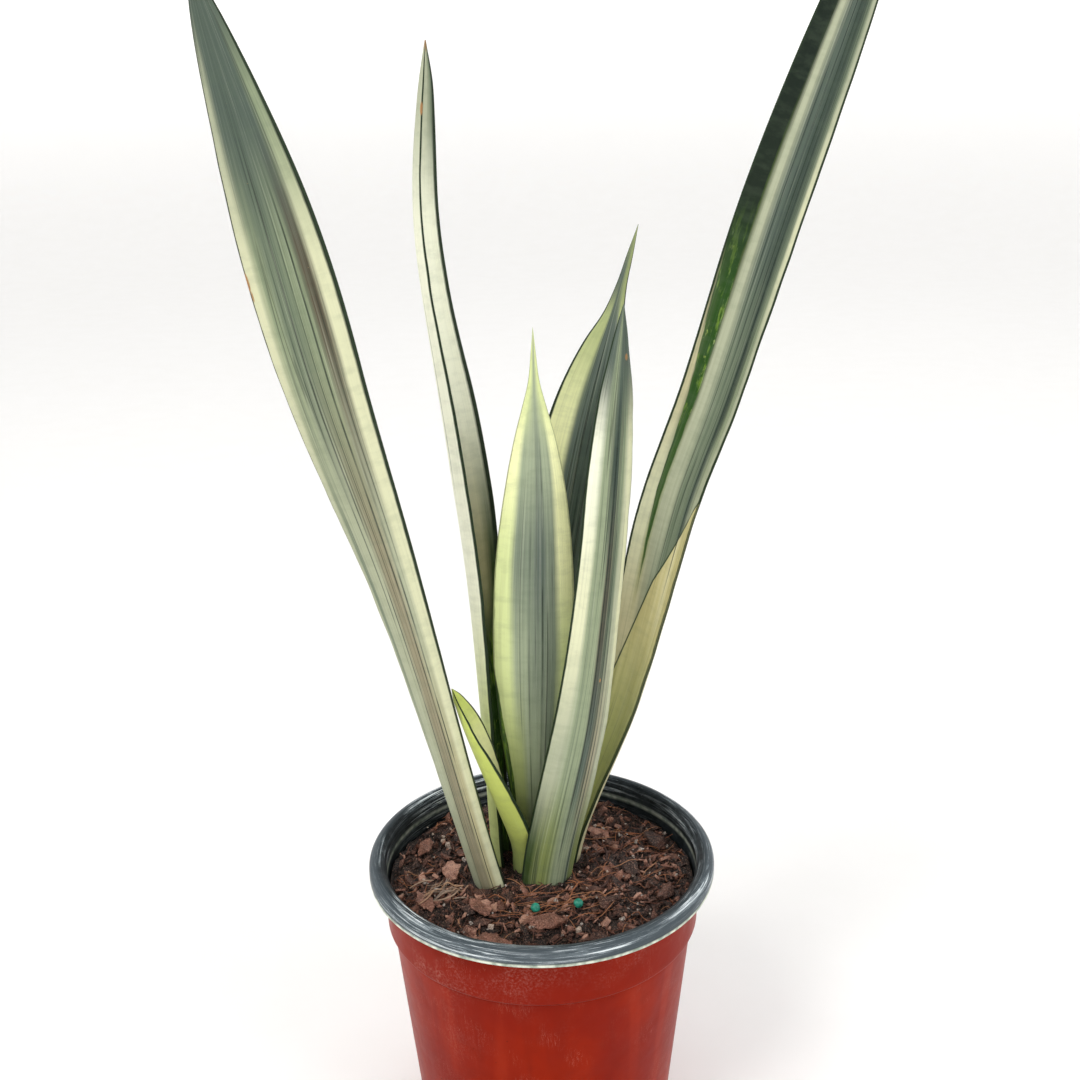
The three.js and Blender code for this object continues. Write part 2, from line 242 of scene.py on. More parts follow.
def blade_rings(node):
    """The blade's rings from foot to tip, each as its middle line from left to right margin.

    Returns (middles [ring, across, 3], thickness at the midrib [ring], inner-face direction [ring, 3], tip).
    """
    points, near = welded(node)
    tip = int(points[:, 2].argmax())
    ring = sorted(near[tip])
    order = [ring[0]]
    while len(order) < len(ring):
        order.append(next(i for i in near[order[-1]] if i in ring and i not in order))
    rings = [order]
    seen = {tip, *order}
    while True:
        above = rings[-1]
        below = {i for j in above for i in near[j]} - seen
        if len(below) != len(above):
            break
        slots = {i: [k for k, j in enumerate(above) if j in near[i]] for i in below}
        choices = []
        for shift in (0, 1):
            made = [None] * len(above)
            for i, (a, b) in slots.items():
                low = a if (a + 1) % len(above) == b else b
                made[(low + shift) % len(above)] = i
            if None not in made:
                gap = np.linalg.norm(points[made] - points[above], axis=1).sum()
                choices.append((gap, made))
        rings.append(min(choices)[1])
        seen |= below
    loops = points[np.array(rings[::-1])]
    count = loops.shape[1]
    half = count // 2
    upper = loops[len(loops) // 2:]
    spans = [np.linalg.norm(upper[:, k] - upper[:, k + half], axis=1).sum() for k in range(half)]
    start = int(np.argmax(spans))
    loops = np.roll(loops, -start, axis=1)
    front = loops[:, :half + 1]
    back = np.concatenate([loops[:, half:], loops[:, :1]], axis=1)[:, ::-1]
    length = [np.linalg.norm(np.diff(face[0], axis=0), axis=1).sum() for face in (front, back)]
    inner, outer = (front, back) if length[0] < length[1] else (back, front)
    if inner[len(inner) // 2, 0, 0] > inner[len(inner) // 2, -1, 0]:
        inner, outer = inner[:, ::-1], outer[:, ::-1]
    middle = half // 2
    return (inner + outer) / 2, inner[:, middle] - outer[:, middle], points[tip]


def through(rows, places):
    """Catmull-Rom values of evenly spaced rows at fractional places."""
    rows = np.asarray(rows, float)
    padded = np.concatenate([[2 * rows[0] - rows[1]], rows, [2 * rows[-1] - rows[-2]]])
    base = np.clip(np.floor(places).astype(int), 0, len(rows) - 2)
    t = (places - base).reshape((-1,) + (1,) * (rows.ndim - 1))
    p0, p1, p2, p3 = (padded[base + i] for i in range(4))
    return 0.5 * (2 * p1 + (p2 - p0) * t + (2 * p0 - 5 * p1 + 4 * p2 - p3) * t ** 2
                  + (3 * p1 - p0 - 3 * p2 + p3) * t ** 3)


ACROSS = 44
ALONG = 240
WAVE = 0.35  # sway of a margin, in millimetres
RIB = 0.07  # height of the lengthwise ribs, in millimetres
MARGIN_SHARE = 0.24  # a margin's thickness as a share of the midrib's
SPREAD = math.pi / 2 * 0.94  # packs the steps across closer towards the margins
FULL_TURN = 6.28


def leaf_piece(node, material, seed):
    """A fine blade through a CAD leaf's rings: ribbed, softly waved at its margins, with rounded edges."""
    middles, thick, tip = blade_rings(node)
    tip_row = np.repeat(tip[None, None], middles.shape[1], axis=1)
    rows = np.concatenate([middles, tip_row])
    share = np.linspace(0, 1, ALONG) ** 0.92
    share[-1] = 0.9985
    across = np.sin(np.linspace(-1, 1, ACROSS) * SPREAD) / math.sin(SPREAD)
    fine = through(rows, share * (len(rows) - 1))
    surface = through(np.swapaxes(fine, 0, 1), (across + 1) / 2 * (rows.shape[1] - 1))
    surface = np.swapaxes(surface, 0, 1)
    toward = through(np.concatenate([thick, thick[-1:] * 0.3]), share * (len(rows) - 1))
    body = np.linalg.norm(toward, axis=1)
    d_across = np.gradient(surface, axis=1)
    d_along = np.gradient(surface, axis=0)
    normal = np.cross(d_across, d_along)
    normal /= np.maximum(np.linalg.norm(normal, axis=2, keepdims=True), 1e-12)
    sign = np.sign((normal[:, ACROSS // 2] * toward).sum(axis=1).sum())
    normal *= sign
    width = np.linalg.norm(np.diff(surface, axis=1), axis=2).sum(axis=1)
    outward = d_across / np.maximum(np.linalg.norm(d_across, axis=2, keepdims=True), 1e-12)

    inner = np.empty_like(surface)
    outer = np.empty_like(surface)
    edge_left = np.empty((ALONG, 3))
    edge_right = np.empty((ALONG, 3))
    for i in range(ALONG):
        s = share[i]
        narrow = min(1.0, width[i] / (14 * MM))
        for j in range(ACROSS):
            a = across[j]
            sway = noise.noise(Vector((a * 0.8, s * 11, seed))) * abs(a) ** 3 * WAVE
            sway += noise.noise(Vector((3.1, s * 34, seed + 5))) * abs(a) ** 6 * WAVE * 0.5
            shift = normal[i, j] * (sway * narrow * MM)
            profile = MARGIN_SHARE + (1 - MARGIN_SHARE) * math.sqrt(max(0.0, 1 - a * a))
            ribs = noise.noise(Vector((a * 11, s * 2.2, seed + 9))) * RIB * narrow
            fine_ribs = noise.noise(Vector((a * 27, s * 3.0, seed + 13))) * RIB * 0.5 * narrow
            swell = body[i] / 2 * profile
            inner[i, j] = surface[i, j] + shift + normal[i, j] * (swell + (ribs * 0.6 + fine_ribs) * MM)
            outer[i, j] = surface[i, j] + shift - normal[i, j] * (swell + (ribs + fine_ribs) * MM)
        rim = body[i] / 2 * MARGIN_SHARE
        edge_left[i] = (inner[i, 0] + outer[i, 0]) / 2 - outward[i, 0] * rim
        edge_right[i] = (inner[i, -1] + outer[i, -1]) / 2 + outward[i, -1] * rim

    loop = np.concatenate([inner, edge_right[:, None], outer[:, ::-1], edge_left[:, None]], axis=1)
    count = loop.shape[1]
    vertices = loop.reshape(-1, 3)
    faces = []
    for i in range(ALONG - 1):
        for k in range(count):
            n = (k + 1) % count
            quad = (i * count + k, i * count + n, (i + 1) * count + n, (i + 1) * count + k)
            faces.append(quad if sign > 0 else quad[::-1])
    cap = list(range(count))
    last = [(ALONG - 1) * count + i for i in range(count)]
    faces += [cap[::-1], last] if sign > 0 else [cap, last[::-1]]
    piece = new_object(node + "_blade", vertices, faces, material)
    a_loop = np.concatenate([across, [1.04], across[::-1], [-1.04]])
    side = np.concatenate([np.zeros(ACROSS), [0.5], np.ones(ACROSS), [0.5]])
    set_attribute(piece, "across", np.tile(a_loop, ALONG))
    set_attribute(piece, "outer", np.tile(side, ALONG))
    set_attribute(piece, "along", np.repeat(share, count))
    reach = share * np.linalg.norm(np.diff(surface[:, ACROSS // 2], axis=0), axis=1).sum() / MM
    set_attribute(piece, "reach", np.repeat(reach, count))
    return stand(piece, "leaf", node)


# ---------------------------------------------------------------- leaves: paint

# The few tones of the plant. Each blade is made lighter or darker by its own gain, further down.
TONES = {
    "ivory": "e2e3d0", "cream": "d2d3b6", "straw": "bdb898", "butter": "d4d6a2", "lime": "c2cb8e",
    "fresh": "bec86e", "leaf": "a5ae76", "olive": "8c9660", "pale": "b2b69f", "sage": "98a287",
    "grey": "808b77", "slate": "636f66", "dusk": "4d5a51", "moss": "4a5b31", "deep": "343f30",
    "taupe": "9f9982", "umber": "665f50",
}
EDGE_BLEND = 0.6  # the share of a dark edge that is fully dark


def bands(*spans):
    """Stops across a face, from left (0) to right (1): each band keeps its tone from place to place."""
    return [(place, TONES[tone]) for start, end, tone in spans for place in (start, end)]


def plain(margin, middle, left=0.2, right=0.8, fade=0.09):
    """Stops of a simple face: a margin on each side of a darker middle."""
    return bands((0, left, margin), (left + fade, right - fade, middle), (right, 1, margin))


def bordered(rows, left, right):
    """The rows of a face, with a dark green edge of these widths on its left and right."""
    dark = TONES["deep"]
    start = [(0, dark), (left * EDGE_BLEND, dark)]
    end = [(1 - right * EDGE_BLEND, dark), (1, dark)]
    return [
        (height, start + [(min(max(place, left), 1 - right), tone) for place, tone in stops] + end)
        for height, stops in rows
    ]


# What each face shows, at heights from foot (0) to tip (1).
LEFT_OUTER = [
    (0.16, bands((0, 0.36, "pale"), (0.46, 0.6, "taupe"), (0.68, 0.74, "straw"), (0.82, 1, "cream"))),
    (0.42, bands((0, 0.09, "pale"), (0.14, 0.16, "grey"), (0.22, 0.4, "pale"), (0.5, 0.62, "taupe"),
                 (0.7, 0.75, "pale"), (0.82, 1, "cream"))),
    (0.72, bands((0, 0.12, "cream"), (0.22, 0.28, "sage"), (0.34, 0.48, "grey"), (0.56, 0.64, "sage"),
                 (0.7, 0.77, "umber"), (0.84, 1, "cream"))),
    (0.88, bands((0, 0.08, "pale"), (0.2, 0.74, "slate"), (0.86, 1, "sage"))),
    (0.97, bands((0, 1, "slate"))),
]
LEFT_INNER = [(0.2, plain("cream", "grey", 0.27, 0.74)), (0.7, plain("cream", "dusk", 0.15, 0.86)),
              (0.95, bands((0, 1, "dusk")))]
NARROW_OUTER = [
    (0.2, plain("lime", "sage", 0.4, 0.75)),
    (0.45, plain("ivory", "pale", 0.36, 0.7)),
    (0.78, plain("ivory", "sage", 0.4, 0.76)),
    (0.95, bands((0, 0.25, "pale"), (0.45, 1, "grey"))),
]
NARROW_INNER = [
    (0.22, bands((0, 0.5, "olive"), (0.6, 1, "moss"))),
    (0.42, bands((0, 0.1, "straw"), (0.3, 0.5, "sage"), (0.62, 0.78, "straw"), (0.9, 1, "moss"))),
    (0.62, bands((0, 0.1, "straw"), (0.25, 0.46, "sage"), (0.6, 1, "ivory"))),
    (0.8, bands((0, 0.08, "sage"), (0.25, 1, "ivory"))),
    (0.94, bands((0, 0.12, "grey"), (0.3, 0.75, "pale"), (0.92, 1, "grey"))),
]
CENTRE_OUTER = [
    (0.26, bands((0, 0.3, "leaf"), (0.4, 0.56, "sage"), (0.66, 0.72, "grey"), (0.8, 1, "olive"))),
    (0.46, bands((0, 0.19, "lime"), (0.28, 0.4, "sage"), (0.5, 0.74, "grey"), (0.84, 1, "lime"))),
    (0.64, bands((0, 0.17, "lime"), (0.25, 0.46, "grey"), (0.53, 0.6, "slate"), (0.66, 0.74, "grey"),
                 (0.82, 1, "butter"))),
    (0.8, bands((0, 0.16, "butter"), (0.25, 0.46, "sage"), (0.54, 0.58, "grey"), (0.64, 0.76, "sage"),
                (0.84, 1, "butter"))),
    (0.92, plain("lime", "sage", 0.22, 0.8, 0.25)),
]
CENTRE_INNER = [(0.35, plain("lime", "slate")), (0.8, plain("lime", "slate", 0.17, 0.83)),
                (0.94, plain("leaf", "grey"))]
FRONT_OUTER = [
    (0.13, bands((0, 0.1, "moss"), (0.2, 0.36, "olive"), (0.48, 0.66, "sage"), (0.7, 0.72, "slate"),
                 (0.78, 1, "olive"))),
    (0.3, bands((0, 0.2, "pale"), (0.3, 0.48, "sage"), (0.54, 0.6, "slate"), (0.65, 0.74, "taupe"),
                (0.84, 1, "pale"))),
    (0.55, bands((0, 0.2, "cream"), (0.27, 0.46, "sage"), (0.51, 0.58, "umber"), (0.63, 0.68, "grey"),
                 (0.76, 0.8, "pale"), (0.88, 1, "cream"))),
    (0.78, bands((0, 0.15, "ivory"), (0.28, 0.4, "sage"), (0.46, 0.56, "dusk"), (0.62, 0.7, "sage"),
                 (0.82, 1, "cream"))),
    (0.93, bands((0, 0.2, "slate"), (0.34, 0.38, "sage"), (0.5, 1, "slate"))),
]
FRONT_INNER = [(0.3, plain("leaf", "slate")), (0.75, plain("pale", "dusk")), (0.95, bands((0, 1, "dusk")))]
BACK_INNER = [
    (0.3, plain("leaf", "dusk", 0.25, 0.8)),
    (0.7, bands((0, 0.27, "butter"), (0.35, 0.42, "slate"), (0.48, 0.6, "dusk"), (0.66, 0.69, "slate"),
                (0.77, 1, "butter"))),
    (0.86, plain("leaf", "slate", 0.3, 0.78)),
    (0.93, bands((0, 0.4, "slate"), (0.7, 1, "olive"))),
    (0.99, bands((0, 1, "olive"))),
]
BACK_OUTER = [(0.4, plain("lime", "grey")), (0.8, plain("leaf", "grey")), (0.93, bands((0, 1, "grey")))]
SHEATH_OUTER = [
    (0.15, bands((0, 0.08, "moss"), (0.45, 1, "olive"))),
    (0.45, bands((0, 0.2, "leaf"), (0.65, 1, "fresh"))),
    (0.9, bands((0, 1, "fresh"))),
]
SHEATH_INNER = [(0.3, bands((0, 1, "leaf"))), (0.7, bands((0, 1, "butter"))), (0.95, bands((0, 1, "fresh")))]
# The folded strip is pale, and beside it lies a dark green strip that widens up the blade.
RIGHT_INNER = [
    (0.12, bands((0, 0.3, "leaf"), (0.55, 1, "grey"))),
    (0.28, bands((0, 0.26, "straw"), (0.42, 0.68, "grey"), (0.73, 0.76, "slate"), (0.85, 1, "sage"))),
    (0.4, bands((0, 0.16, "cream"), (0.21, 0.23, "olive"), (0.28, 0.43, "pale"), (0.52, 0.67, "grey"),
                (0.72, 0.75, "slate"), (0.86, 1, "pale"))),
    (0.52, bands((0, 0.08, "straw"), (0.14, 0.24, "moss"), (0.29, 0.38, "pale"), (0.48, 0.66, "grey"),
                 (0.71, 0.75, "dusk"), (0.83, 0.88, "sage"), (0.94, 1, "pale"))),
    (0.66, bands((0, 0.25, "moss"), (0.32, 0.38, "pale"), (0.46, 0.58, "slate"), (0.64, 0.74, "dusk"),
                 (0.82, 0.85, "grey"), (0.91, 1, "cream"))),
    (0.8, bands((0, 0.26, "deep"), (0.32, 0.38, "pale"), (0.47, 0.58, "slate"), (0.66, 0.76, "dusk"),
                (0.84, 0.86, "grey"), (0.92, 1, "pale"))),
    (0.97, bands((0, 0.28, "deep"), (0.4, 0.7, "dusk"), (0.82, 1, "slate"))),
]
RIGHT_OUTER = [
    (0.2, bands((0, 1, "straw"))),
    (0.4, bands((0, 0.36, "cream"), (0.5, 0.56, "pale"), (0.7, 1, "cream"))),
    (0.8, bands((0, 0.17, "dusk"), (0.23, 0.26, "pale"), (0.44, 0.62, "grey"), (0.84, 1, "cream"))),
    (0.97, bands((0, 1, "slate"))),
]

LEAF_PAINT = {
    "leaf_left_tall": (bordered(LEFT_OUTER, 0.02, 0.055), bordered(LEFT_INNER, 0.03, 0.04)),
    "leaf_back_narrow": (bordered(NARROW_OUTER, 0.035, 0.035), bordered(NARROW_INNER, 0.04, 0.07)),
    "leaf_centre": (CENTRE_OUTER, CENTRE_INNER),
    "leaf_front_right": (bordered(FRONT_OUTER, 0.03, 0.02), bordered(FRONT_INNER, 0.03, 0.03)),
    "leaf_back": (bordered(BACK_OUTER, 0.03, 0.03), bordered(BACK_INNER, 0.035, 0.03)),
    "leaf_sheath": (bordered(SHEATH_OUTER, 0.03, 0.04), bordered(SHEATH_INNER, 0.03, 0.03)),
    "leaf_right_tall": (bordered(RIGHT_OUTER, 0.025, 0.025), bordered(RIGHT_INNER, 0.02, 0.025)),
}


def striped(shader, place, along, keys, gain):
    """The ramps of a face, one blended into the next up the blade."""
    colour = None
    for i, (height, stops) in enumerate(keys):
        ramp = shader.ramp(place, stops, lambda tone: leaf_rgb(tone, gain))
        if colour is None:
            colour = ramp
        else:
            colour = shader.mix(shader.step(along, keys[i - 1][0], height), colour, ramp)
    return colour


# How much each blade is lightened against the tones above. This is painted light: blades that lie in shade
# among the others, and blades facing away from the lamps, are painted lighter.
PAINTED_LIGHT_GAIN = {
    "leaf_left_tall": 1.0, "leaf_back_narrow": 1.15, "leaf_centre": 1.42, "leaf_front_right": 1.12,
    "leaf_back": 1.45, "leaf_sheath": 1.2, "leaf_right_tall": 1.1,
}
# How strongly each blade is clouded with fine lengthwise lines.
VEINING = {
    "leaf_left_tall": 0.45, "leaf_back_narrow": 0.35, "leaf_centre": 0.45, "leaf_front_right": 0.6,
    "leaf_back": 0.5, "leaf_sheath": 0.08, "leaf_right_tall": 0.5,
}
# Long dark lines on both faces: place across, half width, from and to along, strength.
LINES = {
    "leaf_left_tall": [
        (0.36, 0.008, 0.3, 0.8, 0.7), (0.43, 0.01, 0.05, 0.9, 0.85), (0.53, 0.007, 0.35, 0.85, 0.6),
        (0.62, 0.01, 0.0, 0.86, 0.85), (0.69, 0.012, 0.0, 0.6, 0.8), (0.75, 0.007, 0.4, 0.78, 0.6),
    ],
    "leaf_back_narrow": [
        (0.24, 0.01, 0.5, 0.95, 0.6), (0.5, 0.012, 0.0, 0.5, 0.6),
    ],
    "leaf_centre": [
        (0.33, 0.006, 0.3, 0.8, 0.5), (0.44, 0.008, 0.0, 0.72, 0.6), (0.52, 0.006, 0.4, 0.88, 0.55),
        (0.6, 0.01, 0.12, 0.86, 0.8), (0.66, 0.008, 0.0, 0.6, 0.7), (0.72, 0.009, 0.1, 0.7, 0.7),
    ],
    "leaf_front_right": [
        (0.44, 0.008, 0.55, 0.92, 0.8), (0.52, 0.014, 0.1, 0.9, 0.9), (0.57, 0.009, 0.3, 0.85, 0.85),
        (0.65, 0.012, 0.15, 0.88, 0.8), (0.71, 0.01, 0.0, 0.6, 0.7), (0.83, 0.007, 0.3, 0.75, 0.5),
    ],
    "leaf_back": [
        (0.4, 0.01, 0.2, 0.86, 0.8), (0.47, 0.012, 0.2, 0.9, 0.9), (0.55, 0.009, 0.2, 0.88, 0.8),
        (0.62, 0.012, 0.2, 0.86, 0.85),
    ],
    "leaf_right_tall": [
        (0.5, 0.007, 0.3, 0.95, 0.6), (0.58, 0.01, 0.35, 0.98, 0.7), (0.66, 0.008, 0.4, 0.95, 0.65),
        (0.73, 0.012, 0.3, 0.98, 0.85), (0.79, 0.007, 0.45, 0.9, 0.6),
    ],
}
# How dark the thin green edges are, left and right.
EDGES = {
    "leaf_left_tall": (0.35, 0.9), "leaf_back_narrow": (0.75, 0.85), "leaf_centre": (0.5, 0.35),
    "leaf_front_right": (0.9, 0.8), "leaf_back": (0.95, 0.9), "leaf_sheath": (0.6, 0.9),
    "leaf_right_tall": (0.75, 0.85),
}
EDGE_WIDTH = 0.024
# Dark green strips mottled with light green: face (1 is outer), from and to across, from and to along.
MOTTLED = {
    "leaf_right_tall": (0, -0.02, 0.25, 0.3, 0.9),
    "leaf_back_narrow": (0, 0.6, 0.95, 0.05, 0.42),
    "leaf_centre": (1, -0.02, 0.14, 0.0, 0.5),
}
# Where along these strips the light patches lie.
LIGHT_PATCHES = {"leaf_right_tall": (0.42, 0.68), "leaf_back_narrow": (0.0, 0.5), "leaf_centre": (0.0, 0.6)}
# Brown marks: face (1 is outer), place across, place along, reach across, reach along.
BLEMISHES = {
    "leaf_left_tall": [(1, 0.012, 0.735, 0.03, 0.011), (1, 0.03, 0.722, 0.018, 0.006)],
    "leaf_back_narrow": [(0, 0.5, 1.0, 0.7, 0.016), (1, 0.5, 1.0, 0.7, 0.016), (1, 0.02, 0.93, 0.06, 0.008)],
    "leaf_front_right": [(1, 0.72, 0.925, 0.09, 0.006), (1, 0.62, 0.44, 0.02, 0.004)],
}


def on_face(s, side, outer):
    """1 on the outer face, or on the inner face, and 0 on the other."""
    return s.step(side, 0.3, 0.7) if outer else s.step(side, 0.7, 0.3)


def spot_mask(s, place, along, side, mark):
    """Where a brown mark lies."""
    face, centre, height, reach_across, reach_along = mark
    dx = s.math("DIVIDE", s.less(place, centre), reach_across)
    dy = s.math("DIVIDE", s.less(along, height), reach_along)
    away = s.math("SQRT", s.plus(s.times(dx, dx), s.times(dy, dy)))
    here = s.step(away, 1.0, 0.55)
    return s.times(here, on_face(s, side, face))


def leaf_material(node, seed):
    outer_keys, inner_keys = LEAF_PAINT[node]
    s = Shader(node + "_skin", roughness=0.5, Specular_IOR_Level=0.14)
    across, along, side = s.attribute("across"), s.attribute("along"), s.attribute("outer")
    reach = s.attribute("reach")

    def over(columns, rows, offset, detail=2.0, roughness=0.5):
        """Noise with that many cells across the blade and per millimetre along it."""
        place = s.combine(s.times(across, columns), s.times(reach, rows), seed + offset)
        return s.noise(place, 1.0, detail, roughness)

    wander = s.scaled(over(1.3, 0.018, 0, 3), 0.05, -0.025)
    jitter = s.scaled(over(9, 0.25, 3, 3), 0.022, -0.011)
    moved = s.plus(across, s.plus(wander, jitter))
    place = s.scaled(moved, 0.5, 0.5, clamp=True)
    rough_edge = s.scaled(over(8, 0.4, 50, 3), 0.02, -0.01)
    frayed = s.plus(place, rough_edge)
    # Both faces take the blade's gain, the painted light that lifts blades lying in shade.
    outer = striped(s, place, along, outer_keys, PAINTED_LIGHT_GAIN[node])
    inner = striped(s, place, along, inner_keys, PAINTED_LIGHT_GAIN[node])
    colour = s.mix(on_face(s, side, True), inner, outer)
    if node in MOTTLED:
        face, low, high, start, end = MOTTLED[node]
        if node == "leaf_right_tall":
            low = s.slide(along, 0.33, 0.66, 0.225, low)
        if node == "leaf_centre":
            high = s.slide(along, 0.26, 0.46, high, 0.0)
        ragged = s.plus(place, s.scaled(over(5, 0.09, 30, 3), 0.05, -0.025))
        zone = s.times(s.step(s.less(ragged, low), 0, 0.015), s.step(s.less(ragged, high), 0, -0.015))
        zone = s.times(zone, s.times(s.step(along, start, start + 0.06), s.step(along, end, end - 0.1)))
        zone = s.times(zone, on_face(s, side, face))
        light_from, light_to = LIGHT_PATCHES[node]
        lighter = s.times(s.step(along, light_from, light_from + 0.1),
                          s.step(along, light_to, light_to - 0.12))
        patch = s.mix(s.step(along, light_to, light_to - 0.1), rgb("16211a"), rgb("244a12"))
        patches = s.step(over(7, 0.1, 33, 4, 0.65), 0.5, 0.62)
        patch = s.mix(s.times(patches, lighter), patch, rgb("6a8c28"))
        glints = s.step(over(4, 0.2, 36, 4, 0.6), 0.62, 0.72)
        patch = s.mix(s.times(glints, lighter), patch, rgb("93ae4a"))
        colour = s.mix(s.times(zone, 0.92), colour, patch)
    if node == "leaf_right_tall":
        limit = s.plus(s.slide(along, 0.2, 0.335, 0.0, 0.46), s.slide(along, 0.335, 0.43, 0.0, 0.56))
        beyond = s.less(place, limit)
        inner_side = on_face(s, side, False)
        panel = s.ramp(over(2.2, 0.01, 40, 4, 0.6), [(0.3, "b5ab72"), (0.5, "cfc691"), (0.7, "e0dab2")])
        panel = s.mix(s.step(along, 0.34, 0.14), panel, rgb("a3a866"))
        colour = s.mix(s.times(inner_side, s.step(beyond, 0.004, 0.012)), colour, panel)
        seam = s.step(s.math("ABSOLUTE", beyond), 0.016, 0.009)
        seam = s.times(seam, s.times(inner_side, s.step(along, 0.44, 0.42)))
        colour = s.mix(s.times(seam, 0.9), colour, rgb("2a3820"))
    bright = s.node("ShaderNodeRGBToBW")
    s.feed(bright.inputs[0], colour)
    core = s.step(bright.outputs[0], 0.5, 0.26)
    deep = s.step(bright.outputs[0], 0.03, 0.1)
    veining = VEINING[node]
    veins = over(5.2, 0.0035, 7, 1, 0.3)
    here = s.step(over(2.4, 0.012, 9, 2), 0.4, 0.52)
    dark_line = s.step(s.apart(veins, 0.5), 0.026, 0.01)
    dark_line = s.times(s.times(dark_line, here), deep)
    dark_line = s.times(dark_line, s.scaled(core, 0.8 * veining, 0.16 * veining))
    calm = s.scaled(s.plus(across, wander), 0.5, 0.5)
    for i, (centre, half, start, end, strength) in enumerate(LINES.get(node, [])):
        away = s.apart(calm, centre)
        line = s.step(away, half * 1.5, half * 0.4)
        ends = s.times(s.step(along, start, start + 0.08), s.step(along, end, end - 0.1))
        broken = s.step(over(0.1, 0.03, 60 + 3 * i, 3), 0.34, 0.52, 0.25 * strength, strength)
        dark_line = s.math("MAXIMUM", dark_line, s.times(line, s.times(ends, broken)))
    colour = s.mix(dark_line, colour, rgb("1f2924"))
    tone = over(15, 0.006, 11, 3, 0.55)
    soft = s.times(s.scaled(core, 0.75, 0.25), deep)
    colour = s.mix(s.times(s.step(tone, 0.5, 0.66, 0, 0.5 * veining), soft), colour, rgb("45524a"))
    colour = s.mix(s.times(s.step(tone, 0.44, 0.3, 0, 0.4 * veining), soft), colour, rgb("c3c9b2"))
    streak = over(34, 0.02, 12, 4, 0.7)
    colour = s.mix(s.times(s.step(streak, 0.5, 0.7, 0, 0.4 * veining + 0.08), soft), colour, rgb("36423a"))
    colour = s.mix(s.times(s.step(streak, 0.45, 0.28, 0, 0.2), soft), colour, rgb("dfe3cc"))
    fine = over(85, 0.05, 15, 3, 0.7)
    colour = s.mix(s.times(s.step(fine, 0.5, 0.75, 0, 0.32), soft), colour, rgb("3f4c40"))
    cross_bands = over(1.6, 0.35, 18, 4, 0.6)
    colour = s.mix(s.step(cross_bands, 0.42, 0.7, 0.0, 0.14), colour, rgb("5a6a54"))
    left_edge, right_edge = EDGES[node]
    edge = s.times(s.step(frayed, EDGE_WIDTH, 0.45 * EDGE_WIDTH), left_edge)
    edge = s.math("MAXIMUM", edge, s.times(s.step(frayed, 1 - EDGE_WIDTH, 1 - 0.45 * EDGE_WIDTH), right_edge))
    colour = s.mix(edge, colour, rgb("24331f"))
    for mark in BLEMISHES.get(node, []):
        burnt = s.mix(over(20, 0.8, 44, 3, 0.6), rgb("6b3f22"), rgb("c89a64"))
        colour = s.mix(s.times(spot_mask(s, frayed, along, side, mark), 0.9), colour, burnt)
    fleck = over(6, 0.5, 21, 3, 0.6)
    colour = s.mix(s.step(fleck, 0.755, 0.79, 0, 0.8), colour, rgb("8d7650"))
    s.colour(colour)
    s.rough(s.scaled(streak, 0.2, 0.36))
    grain = over(30, 0.9, 24, 3, 0.6)
    relief = s.plus(s.times(fine, 0.5), s.times(grain, 0.3))
    s.bump(s.less(relief, s.times(dark_line, 0.4)), 0.0003, 0.6)
    return s.material


for number, node in enumerate(LEAF_PAINT):
    leaf_piece(node, leaf_material(node, 11.0 * number + 2.5), 7.3 * number + 1.0)


# ---------------------------------------------------------------- pot

POT_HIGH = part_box("pot")[1]
RIM = POT_HIGH.x / MM
TOP = POT_HIGH.z / MM
WALL = 0.8
ROLL = 2.3
BAND_FOOT = 74
AROUND = 256
DRAIN_HOLES = 6
DRAIN_RING = 29
DRAIN_RADIUS = 4


def arc(cx, cz, radius, start, end, steps):
    turns = np.linspace(math.radians(start), math.radians(end), steps)
    return [(cx + radius * math.cos(t), cz + radius * math.sin(t)) for t in turns]


def straight(a, b, steps):
    return [(a[0] + (b[0] - a[0]) * i / steps, a[1] + (b[1] - a[1]) * i / steps) for i in range(steps)]


def sheet_line():
    """The middle of the pot's sheet in millimetres, from the base's centre up and over the rim."""
    low = WALL / 2
    roll_x = RIM - WALL / 2 - ROLL
    roll_z = TOP - WALL / 2 - ROLL
    band = roll_x - ROLL - 0.4
    line = straight((0, low), (37, low), 12)
    line += arc(37, low + 3, 3, -90, 0, 8)
    line += straight((40, low + 3), (band - 1.75, BAND_FOOT - 2.6), 60)[1:]
    line += arc(band - 1.75 + 0.9, BAND_FOOT - 2.0, 0.9, 190, 110, 6)
    line += arc(band - 0.75, BAND_FOOT + 0.2, 0.75, -75, 0, 6)
    line += straight((band, BAND_FOOT + 0.3), (roll_x - ROLL, roll_z), 16)[1:]
    line += arc(roll_x, roll_z, ROLL, 180, 0, 20)
    line += straight((roll_x + ROLL, roll_z), (roll_x + ROLL, roll_z - 2.2), 4)[1:]
    line.append((roll_x + ROLL, roll_z - 2.2))
    return np.array(line)


def offset(line, distance):
    along = np.gradient(line, axis=0)
    along /= np.linalg.norm(along, axis=1, keepdims=True)
    return line + np.stack([-along[:, 1], along[:, 0]], axis=1) * distance


